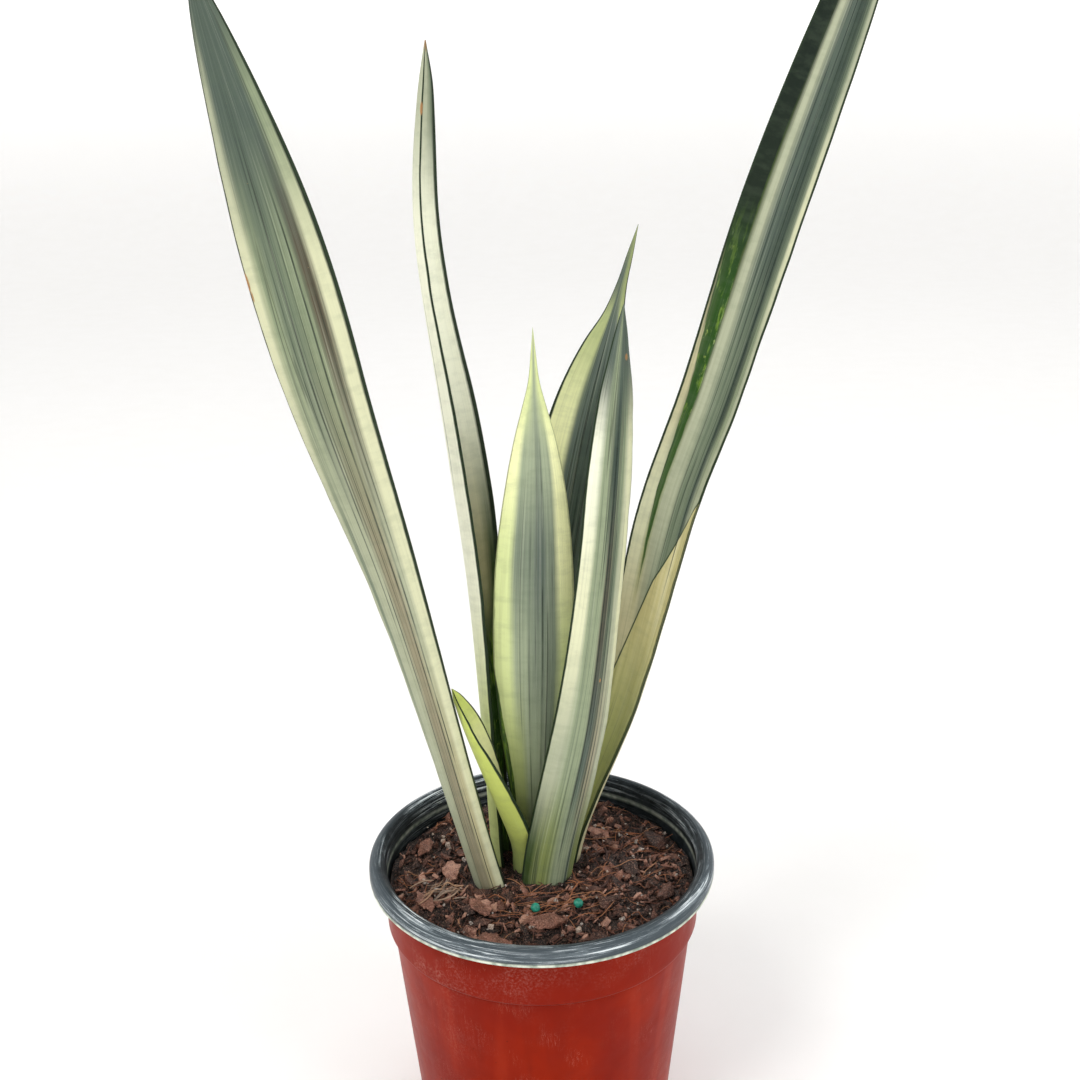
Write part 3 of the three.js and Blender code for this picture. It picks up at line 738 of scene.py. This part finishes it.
def pot_material():
    s = Shader("pot_plastic", roughness=0.3, Specular_IOR_Level=0.09, IOR=1.35)
    lining, pale = s.attribute("lining"), s.attribute("pale")
    height, turn, ring = s.attribute("height"), s.attribute("turn"), s.attribute("ring")
    place = s.position(1000.0)
    cloud = s.noise(place, 0.035, 3)
    terracotta = s.mix(s.step(cloud, 0.35, 0.65), rgb("7b1808"), rgb("881e05"))
    band = s.step(height, 70.5, 73.0)
    terracotta = s.mix(s.times(band, 0.5), terracotta, rgb("7d1d0e"))
    mottled = s.noise(place, 0.16, 4, 0.6)
    terracotta = s.mix(s.step(mottled, 0.45, 0.75, 0, 0.4), terracotta, rgb("741807"))
    sheen = s.noise(s.combine(s.times(turn, 4.5), s.times(height, 0.008), 5), 1, 3, 0.5, 0.4)
    below = s.step(height, 74, 70)
    terracotta = s.mix(s.times(s.step(sheen, 0.54, 0.68, 0, 0.2), below), terracotta, rgb("b0391c"))
    terracotta = s.mix(s.times(s.step(sheen, 0.44, 0.3, 0, 0.25), below), terracotta, rgb("6b1407"))
    dust_patch = s.noise(place, 0.05, 4, 0.62)
    dust_grain = s.noise(place, 1.3, 4, 0.7)
    upper = s.step(height, 60, 90)
    dust = s.times(s.step(dust_patch, 0.48, 0.72), s.step(dust_grain, 0.42, 0.7))
    scuffed = s.step(turn, 1.5, 0.7, 0.3, 1.0)
    dust = s.times(s.times(dust, scuffed), s.scaled(upper, 0.6, 0.12))
    terracotta = s.mix(dust, terracotta, rgb("b98f84"))
    thread = s.noise(s.combine(s.times(turn, 38), s.times(height, 0.06), 3), 1, 4, 0.7, 0.8)
    scratch = s.less(1, s.step(s.apart(thread, 0.5), 0.0, 0.006))
    scratch = s.times(scratch, s.step(s.noise(place, 0.09, 2), 0.5, 0.66, 0, 0.45))
    terracotta = s.mix(scratch, terracotta, rgb("c58a7a"))
    dirt = s.step(s.noise(place, 0.55, 2, 0.5), 0.76, 0.79)
    terracotta = s.mix(dirt, terracotta, rgb("2c120c"))
    slate = s.mix(s.step(s.noise(place, 0.25, 4, 0.65), 0.35, 0.7), rgb("14181a"), rgb("272c2f"))
    reach = s.node("ShaderNodeVectorMath", operation="LENGTH")
    s.feed(reach.inputs[0], s.flat_position(1000.0))
    outward = s.step(reach.outputs["Value"], RIM - 4.2, RIM - 1.2)
    crest = s.step(height, TOP - 4.6, TOP - 3.2)
    slate = s.mix(s.times(outward, crest), slate, rgb("464e53"))
    # Pale streaks on the lip: partly wear, partly painted highlight. They gather on the top of the roll and
    # on its left, the side of the key lamp.
    wear_and_highlight_streaks = s.noise(s.combine(s.times(turn, 2.2), s.times(ring, 1.3), 8), 1, 8, 0.8, 0.7)
    wear_and_highlight_patches = s.noise(s.combine(s.times(turn, 1.5), s.times(ring, 0.25), 4), 1, 2, 0.5)
    worn_and_highlit = s.step(wear_and_highlight_patches, 0.42, 0.62, 0.08, 0.8)
    worn_and_highlit = s.plus(worn_and_highlit, s.step(s.apart(turn, 1.0), 0.6, 0.1, 0, 0.6), clamp=True)
    worn_and_highlit = s.times(worn_and_highlit, s.scaled(crest, 0.85, 0.15))
    slate = s.mix(s.times(s.step(wear_and_highlight_streaks, 0.46, 0.58), worn_and_highlit), slate, rgb("8d989e"))
    slate = s.mix(s.times(s.step(wear_and_highlight_streaks, 0.54, 0.61), worn_and_highlit), slate, rgb("e6edef"))
    slate = s.mix(s.times(s.step(dust_grain, 0.58, 0.8), 0.2), slate, rgb("a9b2b2"))
    colour = s.mix(lining, terracotta, slate)
    # The pale cut edge under the lip is the sheet's own colour; the faint pale line inside the wall is a
    # painted highlight.
    pale_tone = s.mix(s.step(s.noise(place, 0.4, 3), 0.3, 0.7), rgb("8f9c8e"), rgb("dfe4d4"))
    colour = s.mix(pale, colour, pale_tone)
    s.colour(colour)
    rough = s.scaled(dust, 0.45, 0.3)
    rough = s.less(rough, s.times(lining, 0.04))
    s.rough(s.plus(rough, s.times(s.noise(place, 0.3, 3), 0.1)))
    ripple = s.noise(place, 0.11, 2, 0.4)
    s.bump(s.plus(ripple, s.times(dust_grain, 0.05)), 0.0009, 0.35)
    return s.material


def pot_piece():
    line = sheet_line()
    outside, inside = offset(line, -WALL / 2), offset(line, WALL / 2)
    outside[0, 0] = inside[0, 0] = 0
    lip = [((outside[-1] + inside[-1]) / 2 + [0, -0.25])]
    profile = np.concatenate([outside, lip, inside[::-1]])
    count_out = len(outside)
    roll_start = RIM - WALL / 2 - 2 * ROLL
    inner_side = np.arange(len(profile)) > count_out
    roll = (profile[:, 0] > roll_start - 0.2) & (profile[:, 1] > TOP - 6)
    lining = np.where(inner_side | (roll & (profile[:, 1] > TOP - 4.4)), 1.0, 0.0)
    lip_low = TOP - WALL / 2 - ROLL - 2.2
    pale = np.where((profile[:, 0] > RIM - 1.2) & (profile[:, 1] < lip_low + 1.0), 1.0, 0.0)
    # A painted highlight: a faint pale line along the inside of the wall just under the roll.
    ledge_highlight = inner_side & (profile[:, 1] > 88.3) & (profile[:, 1] < 89.8) & (profile[:, 0] < roll_start + 0.6)
    pale[ledge_highlight] = 0.4
    vertices, attributes = [], {"lining": [], "pale": [], "height": [], "turn": [], "ring": []}
    travelled = np.concatenate([[0], np.cumsum(np.linalg.norm(np.diff(profile, axis=0), axis=1))])
    index = {}
    turns = np.linspace(0, 2 * math.pi, AROUND, endpoint=False)
    for p, (radius, z) in enumerate(profile):
        ring = [0.0] if radius < 1e-6 else turns
        for k, turn in enumerate(ring):
            wobble = 1 + 0.0012 * math.sin(3 * turn + 0.7) + 0.0008 * math.sin(5 * turn)
            r = radius * (wobble if z > 8 else 1)
            index[p, k] = len(vertices)
            vertices.append((r * math.cos(turn) * MM, r * math.sin(turn) * MM, z * MM))
            attributes["lining"].append(lining[p])
            attributes["pale"].append(pale[p])
            attributes["height"].append(z)
            attributes["ring"].append(travelled[p])
            attributes["turn"].append(abs(turn - math.pi) if len(ring) > 1 else 0.0)
    faces = []
    for p in range(len(profile) - 1):
        for k in range(AROUND):
            n = (k + 1) % AROUND
            a = profile[p, 0] < 1e-6
            b = profile[p + 1, 0] < 1e-6
            if a:
                faces.append((index[p, 0], index[p + 1, n], index[p + 1, k]))
            elif b:
                faces.append((index[p, k], index[p, n], index[p + 1, 0]))
            else:
                faces.append((index[p, k], index[p, n], index[p + 1, n], index[p + 1, k]))
    piece = new_object("nursery_pot", vertices, faces, pot_material())
    for name, values in attributes.items():
        set_attribute(piece, name, values)
    cut_drain_holes(piece)
    return stand(piece, "pot", "pot")


def cut_drain_holes(piece):
    cutter_mesh = bpy.data.meshes.new("holes")
    shape = bmesh.new()
    ring, radius = DRAIN_RING * MM, DRAIN_RADIUS * MM
    for i in range(DRAIN_HOLES):
        turn = 2 * math.pi * (i + 0.5) / DRAIN_HOLES
        place = Matrix.Translation((ring * math.cos(turn), ring * math.sin(turn), 0))
        bmesh.ops.create_cone(shape, cap_ends=True, segments=40, radius1=radius, radius2=radius,
                              depth=4 * WALL * MM, matrix=place)
    shape.to_mesh(cutter_mesh)
    shape.free()
    cutter = bpy.data.objects.new("holes", cutter_mesh)
    bpy.context.scene.collection.objects.link(cutter)
    cut = piece.modifiers.new("drain", "BOOLEAN")
    cut.operation, cut.object, cut.solver = "DIFFERENCE", cutter, "EXACT"
    bpy.context.view_layer.update()
    graph = bpy.context.evaluated_depsgraph_get()
    made = bpy.data.meshes.new_from_object(piece.evaluated_get(graph))
    piece.modifiers.clear()
    piece.data = made
    bpy.data.objects.remove(cutter)


pot_piece()


# ---------------------------------------------------------------- potting mix

MIX_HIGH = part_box("potting_mix")[1]
MIX_TOP = MIX_HIGH.z / MM - 1.5
MIX_RADIUS = 47.6
dice = random.Random(5)


def mix_height(x, y):
    """Height of the lumpy top of the mix in millimetres."""
    away = math.hypot(x, y) / RIM
    lumps = noise.noise(Vector((x * 0.09, y * 0.09, 2.0))) * 1.5
    crumbs = noise.noise(Vector((x * 0.34, y * 0.34, 7.0))) * 0.8
    grit = noise.noise(Vector((x * 1.1, y * 1.1, 4.0))) * 0.35
    edge = 1.5 * max(0.0, away - 0.55)
    return MIX_TOP + 1.5 * max(0, 1 - away ** 2) - 0.6 + lumps + crumbs + grit + edge


def soil_shader(name, tones, grit="c9b8a8", scale=0.5):
    s = Shader(name, roughness=0.6, Specular_IOR_Level=0.4)
    place = s.position(1000.0)
    coarse = s.noise(place, scale, 5, 0.65)
    level = s.plus(s.attribute("tint"), s.scaled(coarse, 0.9, -0.45), clamp=True)
    shaded = s.ramp(level, tones)
    # Fine grain: near-black specks and light specks. The light specks are partly painted glints on the bark
    # and the mix.
    grain = s.noise(place, 2.4, 4, 0.75, 0.6)
    shaded = s.mix(s.step(grain, 0.5, 0.36, 0, 0.85), shaded, rgb("0c0604"))
    shaded = s.mix(s.step(grain, 0.55, 0.66, 0, 0.65), shaded, rgb("c79d89"))
    speck = s.step(s.noise(place, 1.9, 2, 0.5), 0.735, 0.77, 0, 0.8)
    shaded = s.mix(speck, shaded, rgb(grit))
    s.colour(shaded)
    s.bump(s.plus(coarse, s.times(grain, 0.5)), 0.0006, 0.9)
    return s.material


# The fill under the litter is near black: partly the mix's own dark colour, partly painted shade in the gaps
# between the flakes.
SOIL_AND_GAP_SHADE = soil_shader("mix_soil_and_gap_shade", [(0.0, "080403"), (0.5, "1c100c"), (1.0, "3a231b")])
BARK_TONES = [(0.0, "0b0503"), (0.25, "29160f"), (0.5, "563427"), (0.75, "875a49"), (1.0, "b98c78")]
BARK = soil_shader("mix_bark", BARK_TONES, scale=0.28)


def mix_piece():
    rings, around = 110, 300
    vertices, tint = [], []
    for i in range(rings + 1):
        radius = MIX_RADIUS * i / rings
        for k in range(around):
            turn = 2 * math.pi * k / around
            x, y = radius * math.cos(turn), radius * math.sin(turn)
            vertices.append((x * MM, y * MM, mix_height(x, y) * MM))
            tint.append(0.3 + 0.4 * (noise.noise(Vector((x * 0.25, y * 0.25, 1))) + 0.5))
    wall = [(47.2, 76), (46.9, 72.0), (45.9, 68.5), (39.2, 3.5), (37, 1.2)]
    for radius, z in wall:
        for k in range(around):
            turn = 2 * math.pi * k / around
            vertices.append((radius * math.cos(turn) * MM, radius * math.sin(turn) * MM, z * MM))
            tint.append(0.3)
    faces = []
    total = rings + len(wall)
    for i in range(total):
        for k in range(around):
            n = (k + 1) % around
            if i == 0:
                faces.append((0, around + k, around + n))
            else:
                faces.append((i * around + k, (i + 1) * around + k, (i + 1) * around + n, i * around + n))
    faces.append([total * around + k for k in range(around)][::-1])
    piece = new_object("potting_mix_fill", vertices, faces, SOIL_AND_GAP_SHADE)
    set_attribute(piece, "tint", tint)
    shape = bmesh.new()
    shape.from_mesh(piece.data)
    bmesh.ops.remove_doubles(shape, verts=shape.verts, dist=1e-6)
    bmesh.ops.recalc_face_normals(shape, faces=shape.faces)
    shape.to_mesh(piece.data)
    shape.free()
    return stand(piece, "potting_mix", "potting_mix")


mix_piece()


# ---------------------------------------------------------------- litter on the mix

def leaf_prints():
    """Points in millimetres where the leaves pass through the top of the mix."""
    prints = []
    for node in LEAF_PAINT:
        middles, _, _ = blade_rings(node)
        for a, b in zip(middles, middles[1:]):
            if a[:, 2].min() < 0.094 and b[:, 2].max() > 0.08:
                for t in np.linspace(0, 1, 7):
                    row = a * (1 - t) + b * t
                    prints += [tuple(p[:2] / MM) for p in row if 0.082 < p[2] < 0.093]
    return np.array(prints)


PRINTS = leaf_prints()


def clear_of_leaves(x, y, reach):
    return np.min(np.hypot(PRINTS[:, 0] - x, PRINTS[:, 1] - y)) > reach


def rough_lump(seed, length, width, thickness, cuts, jag):
    """Vertices and faces of a broken, layered flake, in millimetres."""
    roll = random.Random(seed)
    shape = bmesh.new()
    corners = roll.randint(4, 6)
    ring = []
    for k in range(corners):
        turn = 2 * math.pi * (k + roll.uniform(-0.32, 0.32)) / corners
        reach = roll.uniform(0.34, 0.55)
        ring.append((length * reach * math.cos(turn), width * reach * math.sin(turn)))
    points = []
    for x, y in ring:
        lift = roll.uniform(-0.3, 0.3) * thickness
        points.append(Vector((x, y, thickness / 2 + lift)))
        below = (x * roll.uniform(0.8, 1.05), y * roll.uniform(0.8, 1.05), -thickness / 2 + lift)
        points.append(Vector(below))
    points.append(Vector((roll.uniform(-0.1, 0.1) * length, 0, thickness * roll.uniform(0.5, 0.7))))
    for p in points:
        shape.verts.new(p)
    bmesh.ops.convex_hull(shape, input=shape.verts)
    loose = [v for v in shape.verts if not v.link_faces]
    bmesh.ops.delete(shape, geom=loose, context="VERTS")
    bmesh.ops.triangulate(shape, faces=shape.faces)
    for _ in range(cuts):
        bmesh.ops.subdivide_edges(shape, edges=shape.edges, cuts=1, use_grid_fill=True)
        bmesh.ops.triangulate(shape, faces=shape.faces)
    jitter = jag * min(width, 3 * thickness)
    for v in shape.verts:
        n = noise.noise_vector(v.co * (2.2 / max(1.0, thickness)) + Vector((seed * 3.7, 0, 0)))
        v.co += Vector((n.x, n.y, n.z * 0.6)) * jitter
    shape.normal_update()
    shape.verts.ensure_lookup_table()
    shape.verts.index_update()
    vertices = np.array([v.co for v in shape.verts])
    faces = np.array([[v.index for v in f.verts] for f in shape.faces])
    shape.free()
    return vertices, faces


def twist(heading, tilt_x, tilt_y):
    tilt = Matrix.Rotation(tilt_x, 3, "X") @ Matrix.Rotation(tilt_y, 3, "Y")
    return np.array(Matrix.Rotation(heading, 3, "Z") @ tilt)


class Heap:
    """Many small solids gathered into one mesh."""

    def __init__(self):
        self.vertices, self.faces, self.tint, self.count = [], [], [], 0

    def add(self, vertices, faces, tint):
        self.faces.append(np.asarray(faces) + self.count)
        self.vertices.append(vertices)
        self.tint.append(np.full(len(vertices), tint) if np.isscalar(tint) else tint)
        self.count += len(vertices)

    def piece(self, name, material, smooth=False):
        vertices, faces = np.concatenate(self.vertices) * MM, np.concatenate(self.faces)
        made = new_object(name, vertices, faces, material, smooth)
        set_attribute(made, "tint", np.concatenate(self.tint))
        return made


def scatter(radius_max, near_leaves=1.0):
    while True:
        x, y = dice.uniform(-radius_max, radius_max), dice.uniform(-radius_max, radius_max)
        if math.hypot(x, y) < radius_max and clear_of_leaves(x, y, near_leaves):
            return x, y


# Flakes of bark: lengths from and to, how many, gap to the leaves, height above the mix, in millimetres.
FLAKES = [((5, 9), 130, 4.4, 0.9), ((3.0, 6.0), 800, 2.6, 1.5), ((1.2, 3.4), 2600, 1.3, 1.3)]


def flakes():
    heap = Heap()
    kinds = [rough_lump(100 + i, 1.0, 0.2 + 0.06 * (i % 8), 0.13 + 0.03 * (i % 5), 1, 0.06)
             for i in range(24)]
    kinds += [rough_lump(500 + i, 1.0, 0.11 + 0.02 * (i % 4), 0.08 + 0.015 * (i % 3), 1, 0.05)
              for i in range(12)]
    fine_kinds = [rough_lump(300 + i, 1.0, 0.32 + 0.07 * (i % 5), 0.1, 2, 0.07) for i in range(16)]
    for size, amount, gap, lift in FLAKES:
        for _ in range(amount):
            length = dice.uniform(*size)
            x, y = scatter(MIX_RADIUS - 0.45 * length, gap)
            kind = dice.choice(fine_kinds if size[0] > 4 else kinds)
            steep = 0.55 if size[0] > 4 else 1.0
            spin = twist(dice.uniform(0, FULL_TURN), dice.uniform(-steep, steep), dice.uniform(-steep, steep))
            body = kind[0] * [length, length, length * dice.uniform(0.8, 1.3)]
            z = mix_height(x, y) + lift * dice.uniform(0.0, 1.0) * (0.35 + 0.1 * length)
            body = body @ spin.T + [x, y, z]
            # Painted shade: flakes lying low on the mix, and the lower parts of each flake, get a darker
            # tint.
            above = np.clip((body[:, 2] - mix_height(x, y) + 0.2) / 1.7, 0, 1)
            tint = dice.random() * (0.25 + 0.75 * above) + 0.12 * above
            heap.add(body, kind[1], tint * (0.72 if size[0] > 4 else 1.0))
    return heap.piece("bark_litter", BARK)


def strand(points, radius):
    """A thin closed tube along smooth points, in millimetres, thinner at its ends."""
    steps, sides, taper = 14, 6, 0.5
    path = through(np.array(points, float), np.linspace(0, len(points) - 1, steps))
    vertices, faces = [], []
    for i, centre in enumerate(path):
        ahead = path[min(i + 1, steps - 1)] - path[max(i - 1, 0)]
        ahead /= np.linalg.norm(ahead)
        side = np.cross(ahead, [0.12, 0.2, 1.0])
        side /= np.linalg.norm(side)
        up = np.cross(side, ahead)
        thin = radius * (1 - taper * abs(2 * i / (steps - 1) - 1) ** 2)
        for k in range(sides):
            turn = 2 * math.pi * k / sides
            vertices.append(centre + side * thin * math.cos(turn) + up * thin * math.sin(turn))
    for i in range(steps - 1):
        for k in range(sides):
            n = (k + 1) % sides
            a, b, c, d = i * sides + k, i * sides + n, (i + 1) * sides + n, (i + 1) * sides + k
            faces += [(a, b, c), (a, c, d)]
    for k in range(1, sides - 1):
        faces.append((0, k + 1, k))
        base = (steps - 1) * sides
        faces.append((base, base + k, base + k + 1))
    return np.array(vertices), np.array(faces)


def fibre_material():
    s = Shader("coir_strands", roughness=0.75)
    place = s.position(1000.0)
    grain = s.noise(place, 1.1, 3, 0.6)
    tones = [(0.0, "3a2018"), (0.35, "6b4030"), (0.6, "a86a44"), (0.78, "b08560"), (1.0, "837c74")]
    colour = s.ramp(s.attribute("tint"), tones)
    s.colour(s.mix(s.step(grain, 0.4, 0.7, 0, 0.5), colour, rgb("4a2c20")))
    s.bump(grain, 0.0002, 0.6)
    return s.material


FIBRE = fibre_material()


def loose_fibres():
    heap = Heap()

    def lay(x, y, heading, length, radius, tint, lift, bend):
        points = []
        for t in (-0.5, -0.17, 0.17, 0.5):
            off = bend * (t * t - 0.12)
            px = x + length * (t * math.cos(heading) - off * math.sin(heading))
            py = y + length * (t * math.sin(heading) + off * math.cos(heading))
            away = math.hypot(px, py)
            if away > MIX_RADIUS - 0.5:
                px, py = px * (MIX_RADIUS - 0.5) / away, py * (MIX_RADIUS - 0.5) / away
            points.append((px, py, mix_height(px, py) + lift * dice.uniform(0.5, 1.6)))
        heap.add(*strand(points, radius), tint)

    for _ in range(330):
        x, y = scatter(MIX_RADIUS - 2, 2.4)
        lay(x, y, dice.uniform(0, FULL_TURN), dice.uniform(3, 9), dice.uniform(0.07, 0.16),
            dice.uniform(0.05, 0.75), 1.2, dice.uniform(-0.5, 0.5))
    for _ in range(22):  # long orange-brown fibres in front of the shoot and to its right
        x, y = dice.uniform(-10, 20), dice.uniform(-25, -13)
        lay(x, y, dice.gauss(0.5, 0.35), dice.uniform(9, 17), dice.uniform(0.08, 0.14),
            dice.uniform(0.5, 0.72), 2.0, dice.uniform(-0.15, 0.15))
    for _ in range(20):  # long fibres on the right of the pot
        x, y = dice.uniform(18, 38), dice.uniform(-8, 22)
        lay(x, y, dice.gauss(0.1, 0.5), dice.uniform(7, 14), dice.uniform(0.07, 0.13),
            dice.uniform(0.4, 0.72), 1.9, dice.uniform(-0.15, 0.15))
    for _ in range(26):  # grey dead fibres to the left of the shoot
        x, y = dice.gauss(-31, 3.5), dice.gauss(-12, 3)
        lay(x, y, dice.gauss(0.6, 0.5), dice.uniform(5, 11), dice.uniform(0.12, 0.3),
            dice.uniform(0.82, 1.0), 2.0, dice.uniform(-0.8, 0.8))
    return heap.piece("coir_litter", FIBRE, smooth=True)


def perlite_material():
    s = Shader("perlite_skin", roughness=0.85)
    place = s.position(1000.0)
    pits = s.noise(place, 2.4, 4, 0.6)
    colour = s.mix(s.step(pits, 0.42, 0.66), rgb("6f5f56"), rgb("cfc6bc"))
    s.colour(s.mix(s.step(s.attribute("tint"), 0.6, 1.0, 0, 0.5), colour, rgb("b59a86")))
    s.bump(pits, 0.0003, 0.8)
    return s.material


PERLITE = perlite_material()


def fine_perlite():
    heap = Heap()
    kinds = [rough_lump(500 + i, 1.0, 0.8, 0.7, 1, 0.2) for i in range(6)]
    for _ in range(170):
        size = dice.uniform(0.35, 1.0) if dice.random() < 0.85 else dice.uniform(1.1, 1.8)
        x, y = scatter(MIX_RADIUS - 1, 1.5)
        body = dice.choice(kinds)
        spin = twist(dice.uniform(0, FULL_TURN), dice.uniform(-1, 1), dice.uniform(-1, 1))
        z = mix_height(x, y) + dice.uniform(0.9, 2.2)
        heap.add((body[0] * size) @ spin.T + [x, y, z], body[1], dice.random())
    return heap.piece("perlite_litter", PERLITE)


stand(flakes(), "bark")
stand(loose_fibres(), "fibre")
stand(fine_perlite(), "perlite")


# ---------------------------------------------------------------- the CAD's chips, grains, prills, fibres

def refined(kind, count, name, material, slot, jag, cuts):
    """One mesh of the CAD lumps of a kind, each cut finer and roughened."""
    heap = Heap()
    names = [f"{kind}_{i + 1}" for i in range(count)]
    for number, node in enumerate(names):
        shape = bmesh.new()
        shape.from_mesh(NODES[node].data)
        bmesh.ops.remove_doubles(shape, verts=shape.verts, dist=2e-6)
        for v in shape.verts:
            v.co /= MM
        for _ in range(cuts):
            bmesh.ops.subdivide_edges(shape, edges=shape.edges, cuts=1, use_grid_fill=True)
            bmesh.ops.triangulate(shape, faces=shape.faces)
        for v in shape.verts:
            v.co += noise.noise_vector(v.co * 0.55 + Vector((number * 9.1, 0, 0))) * jag
            v.co += noise.noise_vector(v.co * 1.7 + Vector((number * 5.3, 3, 0))) * jag * 0.45
        shape.verts.index_update()
        vertices = np.array([v.co for v in shape.verts])
        faces = np.array([[v.index for v in f.verts] for f in shape.faces])
        shape.free()
        heap.add(vertices, faces, dice.uniform(0.25, 0.95))
    return stand(heap.piece(name, material, smooth=kind != "bark_chip"), slot, *names)


refined("bark_chip", 16, "bark_chips_broken", BARK, "bark", 0.45, 3)
refined("perlite_grain", 8, "perlite_grains_rough", PERLITE, "perlite", 0.16, 3)


def prill_material():
    s = Shader("prill_coat", roughness=0.4)
    place = s.position(1000.0)
    spot = s.noise(place, 0.9, 3, 0.6)
    s.colour(s.mix(s.step(spot, 0.35, 0.7), rgb("0f6a58"), rgb("2a9a80")))
    s.rough(s.scaled(spot, 0.3, 0.3))
    s.bump(spot, 0.0002, 0.5)
    return s.material


refined("fertiliser_prill", 3, "fertiliser_prills_round", prill_material(), "fertiliser", 0.05, 2)

for number in range(4):
    NODES[f"coir_fibre_{number + 1}"].data.materials.clear()
    NODES[f"coir_fibre_{number + 1}"].data.materials.append(FIBRE)


# ---------------------------------------------------------------- buried pieces

def buried_material():
    s = Shader("rhizome_skin", roughness=0.7)
    place = s.position(1000.0)
    scar = s.noise(place, 0.3, 4, 0.6)
    s.colour(s.mix(s.step(scar, 0.35, 0.7), rgb("8a7148"), rgb("d2c394")))
    s.bump(scar, 0.0006, 0.7)
    return s.material


BURIED = buried_material()
for name in ["rhizome"] + [f"root_{i + 1}" for i in range(6)]:
    NODES[name].data.materials.clear()
    NODES[name].data.materials.append(BURIED)


# ---------------------------------------------------------------- stage, lights and camera

def stage_material():
    s = Shader("stage_paper", roughness=0.9)
    grain = s.noise(s.position(40.0), 1.0, 3)
    s.colour(s.mix(grain, rgb("f3f2f0"), rgb("f8f7f6")))
    up = s.node("ShaderNodeSeparateXYZ")
    s.feed(up.inputs[0], s.position())
    glow = s.plus(s.step(up.outputs[2], 0.02, 0.6, 0, 0.42), 0.06)
    s.surface.inputs["Emission Color"].default_value = (1, 1, 1, 1)
    s.feed(s.surface.inputs["Emission Strength"], glow)
    return s.material


def backdrop():
    """A round pale floor that sweeps up into a low wall on all sides."""
    profile = [(0.0, 0.0), (0.4, 0.0), (1.2, 0.0), (1.8, 0.0)]
    sweep = np.linspace(0.15, math.pi / 2, 12)
    profile += [(1.8 + 0.8 * math.sin(t), 0.8 - 0.8 * math.cos(t)) for t in sweep]
    profile += [(2.6, 1.6)]
    around = 96
    vertices = [(0, 0, 0)]
    for radius, z in profile[1:]:
        for k in range(around):
            turn = 2 * math.pi * k / around
            vertices.append((radius * math.cos(turn), radius * math.sin(turn), z))
    faces = [(0, 1 + k, 1 + (k + 1) % around) for k in range(around)]
    for i in range(len(profile) - 2):
        for k in range(around):
            a, b = 1 + i * around + k, 1 + i * around + (k + 1) % around
            faces.append((a, a + around, b + around, b))
    return new_object("stage_floor", vertices, faces, stage_material())


backdrop()


def area_light(name, place, target, size, power, colour=(1, 1, 1)):
    lamp = bpy.data.lights.new(name, "AREA")
    lamp.shape, lamp.size, lamp.energy, lamp.color = "DISK", size, power, colour
    made = bpy.data.objects.new(name, lamp)
    made.location = place
    made.rotation_euler = (Vector(target) - Vector(place)).to_track_quat("-Z", "Y").to_euler()
    bpy.context.scene.collection.objects.link(made)


area_light("key", (-0.75, -0.75, 1.45), (0, 0, 0.16), 0.7, 13, (1.0, 0.985, 0.96))
area_light("fill", (1.3, -0.9, 0.9), (0, 0, 0.16), 1.0, 9.5, (0.99, 0.99, 1.0))
area_light("top", (0.3, 0.9, 1.7), (0, 0, 0.2), 1.0, 6)

world = bpy.data.worlds.new("studio")
world.use_nodes = True
world.node_tree.nodes["Background"].inputs[0].default_value = (0.98, 0.99, 1.0, 1)
world.node_tree.nodes["Background"].inputs[1].default_value = 0.42
bpy.context.scene.world = world
bpy.context.scene.view_settings.view_transform = "Standard"

CAMERA_PLACE = (0.0011, -0.3808, 0.3328)
CAMERA_PITCH = 19.54  # degrees below level
CAMERA_ROLL = -0.89
CAMERA_LENS = 46.5

lens = bpy.data.cameras.new("view")
lens.lens = CAMERA_LENS
lens.sensor_width = 36
lens.clip_start = 0.01
camera = bpy.data.objects.new("view", lens)
pitch = Matrix.Rotation(math.radians(90 - CAMERA_PITCH), 4, "X")
roll = Matrix.Rotation(math.radians(CAMERA_ROLL), 4, "Z")
camera.matrix_world = Matrix.Translation(CAMERA_PLACE) @ (pitch @ roll)
bpy.context.scene.collection.objects.link(camera)
bpy.context.scene.camera = camera
